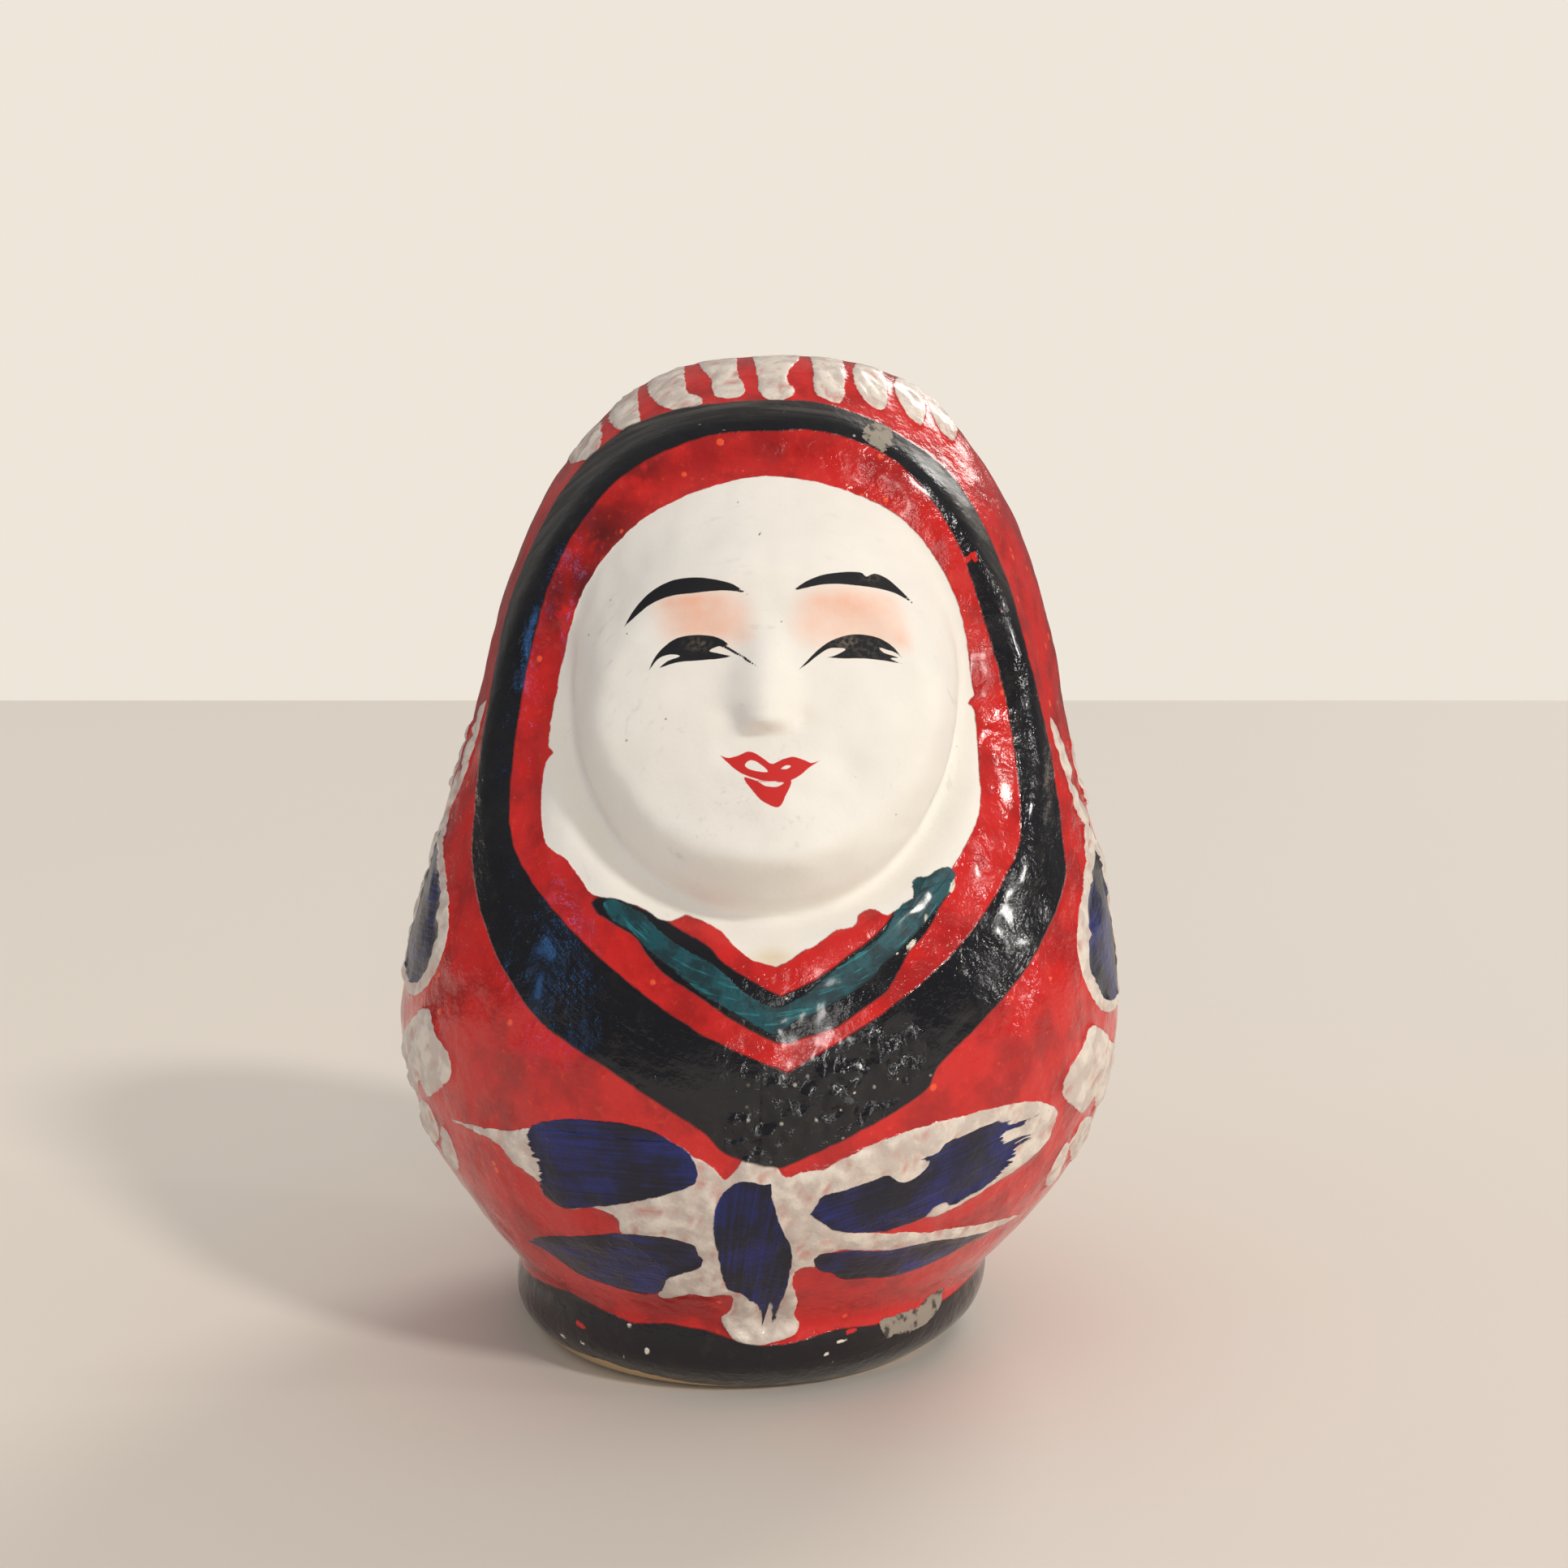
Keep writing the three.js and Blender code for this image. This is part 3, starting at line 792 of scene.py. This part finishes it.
def layPaint(b):
    out = surface - np.column_stack([centreLine(surface[:, 2], shell), 0 * surface[:, 2], surface[:, 2]])
    out /= np.maximum(np.linalg.norm(out, axis=1, keepdims=True), 1e-6)
    edge = b["edge"]
    build = b["red"] * smoothstep(-fields["face"], -edge / 2, edge / 2)
    dabs = np.abs(lumps(surface, [(b["dabSize"], 1)], (3.1, 9.4, 2.2)))
    fields["crease"] = 1 - smoothstep(dabs, 0, b["crease"])
    white = smoothstep(fields["white"], -edge / 2, edge) * (1 - smoothstep(fields["blue"], -0.1, 0.2))
    build += white * (b["white"] + b["dabRise"] * np.minimum(dabs, b["dabLimit"]))
    build += b["blue"] * smoothstep(fields["blue"], -edge / 2, edge / 2)
    build += b["teal"] * smoothstep(fields["teal"], -edge / 2, edge / 2)
    grit = lumps(surface, b["crackleSizes"], (8.3, 0.4, 6.1))
    build += fields["crackle"] * smoothstep(fields["black"], 0, 0.5) * grit
    return surface + out * (build * smoothstep(surface[:, 2], *b["fadeIn"]))[:, None]


def finishMesh(piece, at):
    piece.data.vertices.foreach_set("co", (at * mm).ravel())
    for name, field in fields.items():
        piece.data.attributes.new(name, "FLOAT", "POINT").data.foreach_set("value", field.astype(np.float32))
    for name, field in brushing.items():
        kept = piece.data.attributes.new(name, "FLOAT_VECTOR", "POINT")
        kept.data.foreach_set("vector", field.astype(np.float32).ravel())
    piece.data.update()
    bpy.ops.object.select_all(action="DESELECT")
    piece.select_set(True)
    bpy.context.view_layer.objects.active = piece
    bpy.ops.object.shade_smooth()


finishMesh(shellPiece, layPaint(paintBuild))
print("paint laid on, triangles:", sum(len(f.vertices) - 2 for f in shellPiece.data.polygons))


def addNode(tree, kind, inputs=None, **settings):
    made = tree.nodes.new("ShaderNode" + kind)
    for key, value in settings.items():
        setattr(made, key, value)
    for key, value in (inputs or {}).items():
        if isinstance(value, bpy.types.NodeSocket):
            tree.links.new(value, made.inputs[key])
        else:
            made.inputs[key].default_value = value
    return made


def calculate(tree, operation, a, b=0.0, c=0.0):
    return addNode(tree, "Math", {0: a, 1: b, 2: c}, operation=operation).outputs[0]


def mixColour(tree, factor, a, b):
    return addNode(tree, "Mix", {0: factor, 6: a, 7: b}, data_type="RGBA").outputs[2]


def mixValue(tree, factor, a, b):
    return addNode(tree, "Mix", {0: factor, 2: a, 3: b}, data_type="FLOAT").outputs[0]


def soften(tree, value, start, end, low=0.0, high=1.0):
    return addNode(
        tree, "MapRange", {0: value, 1: start, 2: end, 3: low, 4: high}, interpolation_type="SMOOTHSTEP"
    ).outputs[0]


def newGroup(name, ins, outs):
    group = bpy.data.node_groups.new(name, "ShaderNodeTree")
    for socket, kind, value in ins:
        made = group.interface.new_socket(socket, in_out="INPUT", socket_type="NodeSocket" + kind)
        if value is not None:
            made.default_value = value
    for socket, kind in outs:
        group.interface.new_socket(socket, in_out="OUTPUT", socket_type="NodeSocket" + kind)
    source = group.nodes.new("NodeGroupInput")
    sink = group.nodes.new("NodeGroupOutput")
    return group, source.outputs, sink.inputs


def useGroup(tree, group, inputs):
    made = tree.nodes.new("ShaderNodeGroup")
    made.node_tree = group
    for key, value in inputs.items():
        if isinstance(value, bpy.types.NodeSocket):
            tree.links.new(value, made.inputs[key])
        else:
            made.inputs[key].default_value = value
    return made.outputs


def paintEdgeGroup():
    # where a brushed shape covers, with a hand-drawn wobble along its edge
    group, given, give = newGroup(
        "paint edge",
        [
            ("Place", "Vector", None), ("Field", "Float", 0), ("Wobble", "Float", 0.15),
            ("Wobble Size", "Float", 1.2), ("Softness", "Float", 0.05),
        ],
        [("Cover", "Float"), ("Height", "Float")],
    )
    scale = calculate(group, "DIVIDE", 1.0, given["Wobble Size"])
    wobble = addNode(
        group, "TexNoise", {"Vector": given["Place"], "Scale": scale, "Detail": 3.0, "Roughness": 0.6}
    ).outputs[0]
    wobble = calculate(group, "MULTIPLY", calculate(group, "SUBTRACT", wobble, 0.5), given["Wobble"])
    field = calculate(group, "ADD", given["Field"], wobble)
    softness = given["Softness"]
    cover = soften(group, field, calculate(group, "MULTIPLY", softness, -1.0), softness)
    group.links.new(cover, give["Cover"])
    group.links.new(soften(group, field, -0.12, 0.12), give["Height"])
    return group


def mottleGroup():
    # slow uneven colour, from a loaded and an empty brush or a used floor
    group, given, give = newGroup(
        "mottle",
        [("Place", "Vector", None), ("Size", "Float", 6), ("Contrast", "Float", 1)],
        [("Value", "Float")],
    )
    scale = calculate(group, "DIVIDE", 1.0, given["Size"])
    value = addNode(
        group, "TexNoise", {"Vector": given["Place"], "Scale": scale, "Detail": 4.0, "Roughness": 0.55}
    ).outputs[0]
    value = calculate(group, "SUBTRACT", value, 0.5)
    value = calculate(group, "MULTIPLY_ADD", value, given["Contrast"], 0.5)
    group.links.new(addNode(group, "Clamp", {0: value}).outputs[0], give["Value"])
    return group


def streaksGroup():
    # bristle marks: long in the first direction of the given place, fine across it
    group, given, give = newGroup(
        "bristle streaks",
        [("Place", "Vector", None), ("Length", "Float", 8), ("Width", "Float", 0.35)],
        [("Value", "Float")],
    )
    stretch = addNode(group, "CombineXYZ", {
        0: calculate(group, "DIVIDE", 1.0, given["Length"]),
        1: calculate(group, "DIVIDE", 1.0, given["Width"]),
        2: 0.05,
    }).outputs[0]
    place = addNode(group, "VectorMath", {0: given["Place"], 1: stretch}, operation="MULTIPLY").outputs[0]
    value = addNode(group, "TexNoise", {"Vector": place, "Scale": 1.0, "Detail": 2.0, "Roughness": 0.6})
    group.links.new(value.outputs[0], give["Value"])
    return group


def specksGroup():
    # small scattered spots, such as dirt, pinholes or grains in the paint
    group, given, give = newGroup(
        "specks",
        [
            ("Place", "Vector", None), ("Spacing", "Float", 3), ("Radius", "Float", 0.2),
            ("Share", "Float", 0.3),
        ],
        [("Mask", "Float")],
    )
    scale = calculate(group, "DIVIDE", 1.0, given["Spacing"])
    cells = addNode(group, "TexVoronoi", {"Vector": given["Place"], "Scale": scale, "Randomness": 1.0})
    distance = calculate(group, "MULTIPLY", cells.outputs["Distance"], given["Spacing"])
    pick = addNode(group, "SeparateColor", {0: cells.outputs["Color"]}).outputs
    radius = calculate(group, "MULTIPLY", given["Radius"], calculate(group, "ADD", pick[1], 0.3))
    spot = soften(group, distance, calculate(group, "MULTIPLY", radius, 0.5), radius, 1.0, 0.0)
    chosen = calculate(group, "LESS_THAN", pick[0], given["Share"])
    group.links.new(calculate(group, "MULTIPLY", spot, chosen), give["Mask"])
    return group


paintEdge, mottle, streaks, specks = paintEdgeGroup(), mottleGroup(), streaksGroup(), specksGroup()

paints = {
    "red": (0.60, 0.020, 0.018, 1),
    "redDeep": (0.30, 0.012, 0.013, 1),
    "redShade": (0.075, 0.008, 0.009, 1),
    "redGrainGlint": (0.95, 0.10, 0.035, 1),
    "black": (0.0095, 0.0095, 0.0125, 1),
    "blackThin": (0.022, 0.019, 0.018, 1),
    "blackDustAndSheen": (0.075, 0.068, 0.06, 1),
    "faceWhite": (0.875, 0.835, 0.765, 1),
    "faceShade": (0.79, 0.755, 0.70, 1),
    "faceGrey": (0.50, 0.46, 0.42, 1),
    "strokeWhite": (0.77, 0.69, 0.60, 1),
    "strokeShade": (0.60, 0.51, 0.45, 1),
    "strokeThin": (0.58, 0.27, 0.23, 1),
    "blue": (0.011, 0.018, 0.16, 1),
    "navy": (0.006, 0.0065, 0.018, 1),
    "teal": (0.006, 0.075, 0.095, 1),
    "tealDark": (0.006, 0.035, 0.045, 1),
    "tealLight": (0.02, 0.27, 0.30, 1),
    "peach": (0.88, 0.46, 0.31, 1),
    "lip": (0.58, 0.018, 0.016, 1),
    "inkThin": (0.16, 0.13, 0.10, 1),
    "chipAndGlint": (0.80, 0.74, 0.62, 1),
    "worn": (0.30, 0.26, 0.21, 1),
    "stain": (0.66, 0.48, 0.24, 1),
    "rawPaper": (0.50, 0.36, 0.20, 1),
    "dirt": (0.10, 0.075, 0.05, 1),
}


# Roughness of each finish, glossy paint from and to, and the varnish over it.
finish = {
    "glossy": (0.09, 0.24), "wrinkled": 0.06, "teal": 0.5, "white": 0.4, "dustySheen": 0.5, "matt": 0.72,
    "coat": 0.25, "coatRoughness": 0.1, "ior": 1.4, "wornDullness": 0.8,
}
# Rise of the finest relief, in millimetres: at paint edges, along bristle marks and in the paper.
relief = {
    "lumps": 0.10, "grit": 0.012, "face": -0.05, "black": 0.03, "white": 0.06, "teal": 0.05, "blue": 0.03,
    "lip": 0.01, "grainGlints": 0.05, "leafRidges": 0.05, "bandRidges": 0.04, "wrinkles": 0.05,
}


def fieldOf(tree, name):
    return addNode(tree, "Attribute", attribute_name=name).outputs["Fac"]


def paintedPaper(p, f, r):
    material = bpy.data.materials.new("painted_paper")
    material.use_nodes = True
    tree = material.node_tree
    tree.nodes.clear()
    place = addNode(tree, "TexCoord").outputs["Object"]
    place = addNode(tree, "VectorMath", {0: place, 3: 1 / mm}, operation="SCALE").outputs[0]
    hoodBrush = addNode(tree, "Attribute", attribute_name="hoodBrush").outputs["Vector"]
    leafBrush = addNode(tree, "Attribute", attribute_name="leafBrush").outputs["Vector"]

    def cover(field, wobble, size, softness=0.05):
        if isinstance(field, str):
            field = fieldOf(tree, field)
        return useGroup(tree, paintEdge, {
            "Place": place, "Field": field, "Wobble": wobble, "Wobble Size": size, "Softness": softness,
        })

    def mottled(size, contrast):
        return useGroup(tree, mottle, {"Place": place, "Size": size, "Contrast": contrast})["Value"]

    def streaked(brush, length, width):
        return useGroup(tree, streaks, {"Place": brush, "Length": length, "Width": width})["Value"]

    def speckled(spacing, radius, share):
        inputs = {"Place": place, "Spacing": spacing, "Radius": radius, "Share": share}
        return useGroup(tree, specks, inputs)["Mask"]

    def times(a, b):
        return calculate(tree, "MULTIPLY", a, b)

    def over(mask, colour, paint):
        return mixColour(tree, mask, colour, paint)

    def most(a, b):
        return calculate(tree, "MAXIMUM", a, b)

    def raised(height, mask, rise):
        return calculate(tree, "MULTIPLY_ADD", mask, rise, height)

    # red all over, from a full brush and a thin one, with bright grains that are partly painted glints where
    # raised specks catch the light
    colour = over(soften(tree, mottled(4.0, 1.5), 0.25, 0.62, 0.7, 0.0), p["red"], p["redDeep"])
    # painted shade on the red in the valley inside the hood, broken up by a mottle
    shadeMask = times(fieldOf(tree, "valleyShade"), soften(tree, mottled(2.6, 1.8), 0.15, 0.5))
    colour = over(times(shadeMask, 0.9), colour, p["redShade"])
    # bright grains, painted partly as glints of the light on them
    grainGlints = speckled(1.7, 0.32, 0.38)
    colour = over(times(grainGlints, 0.85), colour, p["redGrainGlint"])
    fine = soften(tree, mottled(0.7, 1.6), 0.6, 0.95, 0.0, 0.25)
    colour = over(fine, colour, p["redGrainGlint"])

    # thick off-white dabs, pinkish where they are thin
    white = cover("white", 0.35, 1.0)
    dabs = over(soften(tree, mottled(1.8, 2.0), 0.3, 0.75), p["strokeShade"], p["strokeWhite"])
    crease = times(fieldOf(tree, "crease"), soften(tree, mottled(2.6, 2.2), 0.25, 0.7))
    dabs = over(times(crease, 0.9), dabs, p["strokeThin"])
    colour = over(white["Cover"], colour, dabs)

    # black, thin at its edges, with dust and a painted sheen on the upward-facing top of the hood
    black = cover("black", 0.3, 1.4, 0.12)
    blackPaint = over(soften(tree, mottled(2.0, 2.4), 0.6, 1.0, 0.0, 0.6), p["black"], p["blackThin"])
    bristles = soften(tree, streaked(hoodBrush, 7.0, 0.4), 0.40, 0.66)
    film = calculate(tree, "MULTIPLY_ADD", bristles, 0.75, 0.25)
    blackPaint = over(times(fieldOf(tree, "dustAndSheen"), film), blackPaint, p["blackDustAndSheen"])
    # pale flecks in the wrinkled spot: chips, and painted glints of the light on its grit
    grittyGlints = times(fieldOf(tree, "crackle"), speckled(0.9, 0.21, 0.4))
    blackPaint = over(times(grittyGlints, 0.9), blackPaint, p["chipAndGlint"])
    colour = over(black["Cover"], colour, blackPaint)

    # blue leaves, with the bristle marks of a brush running dry
    bristles = streaked(leafBrush, 7.0, 0.3)
    eaten = times(fieldOf(tree, "dry"), calculate(tree, "MULTIPLY_ADD", bristles, 2.6, -1.15))
    blueField = calculate(tree, "SUBTRACT", fieldOf(tree, "blue"), calculate(tree, "MAXIMUM", eaten, -0.1))
    blue = cover(blueField, 0.3, 0.9)
    loaded = calculate(tree, "MULTIPLY_ADD", mottled(5.0, 1.6), 0.5, times(bristles, 0.5))
    bluePaint = over(soften(tree, loaded, 0.42, 0.72), p["navy"], p["blue"])
    colour = over(blue["Cover"], colour, bluePaint)

    # the face is white, with soft grey brush marks and peach over the eyes
    face = cover("face", 0.3, 1.2)
    facePaint = over(mottled(5.0, 1.4), p["faceShade"], p["faceWhite"])
    smudge = soften(tree, streaked(hoodBrush, 4.0, 0.8), 0.56, 0.74)
    smudge = times(smudge, soften(tree, mottled(6.0, 2.4), 0.5, 0.8))
    facePaint = over(times(smudge, 0.28), facePaint, p["faceGrey"])
    facePaint = over(times(fieldOf(tree, "stain"), 0.6), facePaint, p["stain"])
    rubbed = calculate(tree, "MULTIPLY_ADD", mottled(1.6, 1.6), 0.5, 0.55)
    facePaint = over(times(fieldOf(tree, "blush"), rubbed), facePaint, p["peach"])
    facePaint = over(times(speckled(1.8, 0.13, 0.35), 0.6), facePaint, p["dirt"])
    facePaint = over(cover("dirt", 0.1, 0.3)["Cover"], facePaint, p["dirt"])
    lip = cover("lips", 0.1, 0.5, 0.04)
    facePaint = over(lip["Cover"], facePaint, p["lip"])
    ink = cover("ink", 0.05, 0.4, 0.03)
    thin = times(fieldOf(tree, "inkThin"), soften(tree, mottled(0.35, 2.0), 0.3, 0.8))
    inkPaint = over(times(thin, 0.8), p["black"], p["inkThin"])
    facePaint = over(ink["Cover"], facePaint, inkPaint)
    colour = over(face["Cover"], colour, facePaint)

    # teal line on the collar, over the edge of the face
    teal = cover("teal", 0.35, 0.5)
    bristles = streaked(hoodBrush, 5.0, 0.35)
    tealPaint = over(soften(tree, mottled(2.0, 2.2), 0.35, 0.7), p["tealDark"], p["teal"])
    tealPaint = over(soften(tree, bristles, 0.54, 0.74, 0.0, 0.75), tealPaint, p["tealLight"])
    tealPaint = over(times(speckled(0.9, 0.13, 0.35), 0.6), tealPaint, p["tealLight"])
    colour = over(teal["Cover"], colour, tealPaint)

    # chips, scrapes and the bare paper at the rim of the foot
    worn = cover("worn", 1.1, 0.9)
    wornPaint = over(soften(tree, mottled(1.2, 2.2), 0.5, 0.75, 0.0, 0.85), p["worn"], p["blackThin"])
    colour = over(worn["Cover"], colour, wornPaint)
    onBlack = times(black["Cover"], calculate(tree, "SUBTRACT", 1.0, face["Cover"]))
    colour = over(times(onBlack, speckled(3.6, 0.17, 0.16)), colour, p["chipAndGlint"])
    colour = over(times(onBlack, speckled(4.5, 0.22, 0.10)), colour, p["red"])
    colour = over(cover("scrape", 0.3, 0.4)["Cover"], colour, p["red"])
    colour = over(cover("pale", 0.25, 0.5)["Cover"], colour, p["chipAndGlint"])
    bare = cover("bare", 0.5, 1.5)
    colour = over(bare["Cover"], colour, p["rawPaper"])

    covered = calculate(tree, "SUBTRACT", 1.0, teal["Cover"])
    matt = most(times(face["Cover"], covered), bare["Cover"])
    matt = most(matt, times(worn["Cover"], f["wornDullness"]))
    gloss = calculate(tree, "SUBTRACT", 1.0, matt)
    glossy = soften(tree, mottled(2.5, 2.0), 0.2, 0.8, *f["glossy"])
    glossy = mixValue(tree, fieldOf(tree, "crackle"), glossy, f["wrinkled"])
    glossy = most(glossy, times(teal["Cover"], f["teal"]))
    glossy = most(glossy, times(white["Cover"], f["white"]))
    glossy = most(glossy, times(times(fieldOf(tree, "dustAndSheen"), onBlack), f["dustySheen"]))
    roughness = mixValue(tree, matt, glossy, f["matt"])

    # the finest relief: paint edges, bristle ridges, grains and dents in the paper
    height = times(mottled(1.4, 1.8), times(gloss, r["lumps"]))
    height = raised(height, mottled(0.45, 2.0), r["grit"])
    height = raised(height, face["Height"], r["face"])
    height = raised(height, black["Height"], r["black"])
    height = raised(height, white["Height"], r["white"])
    height = raised(height, teal["Height"], r["teal"])
    height = raised(height, blue["Height"], r["blue"])
    height = raised(height, lip["Height"], r["lip"])
    height = raised(height, times(grainGlints, gloss), r["grainGlints"])
    ridges = streaked(leafBrush, 6.0, 0.4)
    height = raised(height, times(ridges, blue["Cover"]), r["leafRidges"])
    ridges = streaked(hoodBrush, 6.0, 0.45)
    height = raised(height, times(ridges, onBlack), r["bandRidges"])
    wrinkles = times(times(fieldOf(tree, "crackle"), black["Cover"]), r["wrinkles"])
    height = raised(height, mottled(0.4, 2.5), wrinkles)
    normal = addNode(tree, "Bump", {"Height": height, "Distance": 0.001, "Strength": 1.0}).outputs[0]

    shader = addNode(tree, "BsdfPrincipled", {
        "Base Color": colour, "Roughness": roughness, "Coat Weight": times(gloss, f["coat"]),
        "Coat Roughness": f["coatRoughness"], "IOR": f["ior"], "Normal": normal,
    }).outputs[0]
    output = tree.nodes.new("ShaderNodeOutputMaterial")
    tree.links.new(shader, output.inputs["Surface"])
    return material


shellPiece.data.materials.clear()
shellPiece.data.materials.append(paintedPaper(paints, finish, relief))
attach(shellPiece, "root")
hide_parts(solidName)
print("shell painted")

floorLook = {"halfSize": 6, "colour": (0.74, 0.68, 0.61, 1), "worn": (0.72, 0.66, 0.59, 1)}
# Soft lights far away, so that the floor is lit evenly.
lights = {
    "key": {"place": (300, -300, 330), "angle": 7, "strength": 1.22, "colour": (1, 0.96, 0.9)},
    "front": {"place": (110, -390, 165), "angle": 5, "strength": 0.2, "colour": (1, 0.97, 0.93)},
    "low": {"place": (90, -400, 72), "angle": 5, "strength": 0.3, "colour": (1, 0.97, 0.93)},
    "side": {"place": (420, -60, 150), "angle": 4, "strength": 0.35, "colour": (1, 0.97, 0.93)},
    "back": {"place": (200, 300, 330), "angle": 25, "strength": 0.9, "colour": (1, 0.97, 0.92)},
    "left": {"place": (-400, -190, 130), "angle": 9, "strength": 0.16, "colour": (0.10, 0.40, 1)},
}
# Light from all round, paler above; the polished paint sees a darker room.
sky = {
    "low": (0.28, 0.268, 0.255, 1), "high": (0.68, 0.66, 0.63, 1), "glossy": 0.4,
    "seen": (0.86, 0.79, 0.70, 1),
}


def addFloor(f):
    bpy.ops.object.select_all(action="DESELECT")
    bpy.ops.mesh.primitive_plane_add(size=2 * f["halfSize"], location=(0, 0, low.z))
    floor = bpy.context.object
    floor.name = "floor"
    floor.data.transform(floor.matrix_world)
    floor.location = (0, 0, 0)
    material = bpy.data.materials.new("pale_floor")
    material.use_nodes = True
    tree = material.node_tree
    place = addNode(tree, "TexCoord").outputs["Object"]
    even = useGroup(tree, mottle, {"Place": place, "Size": 0.3, "Contrast": 0.6})["Value"]
    shader = tree.nodes["Principled BSDF"]
    tree.links.new(mixColour(tree, even, f["worn"], f["colour"]), shader.inputs["Base Color"])
    shader.inputs["Roughness"].default_value = 0.75
    floor.data.materials.append(material)


def addLight(name, l):
    place = Vector(l["place"]) * mm
    bpy.ops.object.light_add(type="SUN", location=place)
    made = bpy.context.object
    made.name = name + "_light"
    made.rotation_euler = (Vector((0, 0, 50 * mm)) - place).to_track_quat("-Z", "Y").to_euler()
    made.data.angle = math.radians(l["angle"])
    made.data.energy = l["strength"]
    made.data.color = l["colour"]


def addSky(s):
    world = bpy.data.worlds.new("pale_sky")
    bpy.context.scene.world = world
    world.use_nodes = True
    tree = world.node_tree
    tree.nodes.clear()
    rays = addNode(tree, "LightPath").outputs
    up = addNode(tree, "SeparateXYZ", {0: addNode(tree, "TexCoord").outputs["Generated"]}).outputs[2]
    light = mixColour(tree, soften(tree, up, 0.0, 0.9), s["low"], s["high"])
    seen = mixColour(tree, rays["Is Camera Ray"], light, s["seen"])
    strength = mixValue(tree, rays["Is Glossy Ray"], 1.0, s["glossy"])
    shown = addNode(tree, "Background", {"Color": seen, "Strength": strength}).outputs[0]
    output = tree.nodes.new("ShaderNodeOutputWorld")
    tree.links.new(shown, output.inputs["Surface"])


addFloor(floorLook)
for name in lights:
    addLight(name, lights[name])
addSky(sky)
bpy.context.scene.view_settings.view_transform = "Standard"
print("floor and light set")
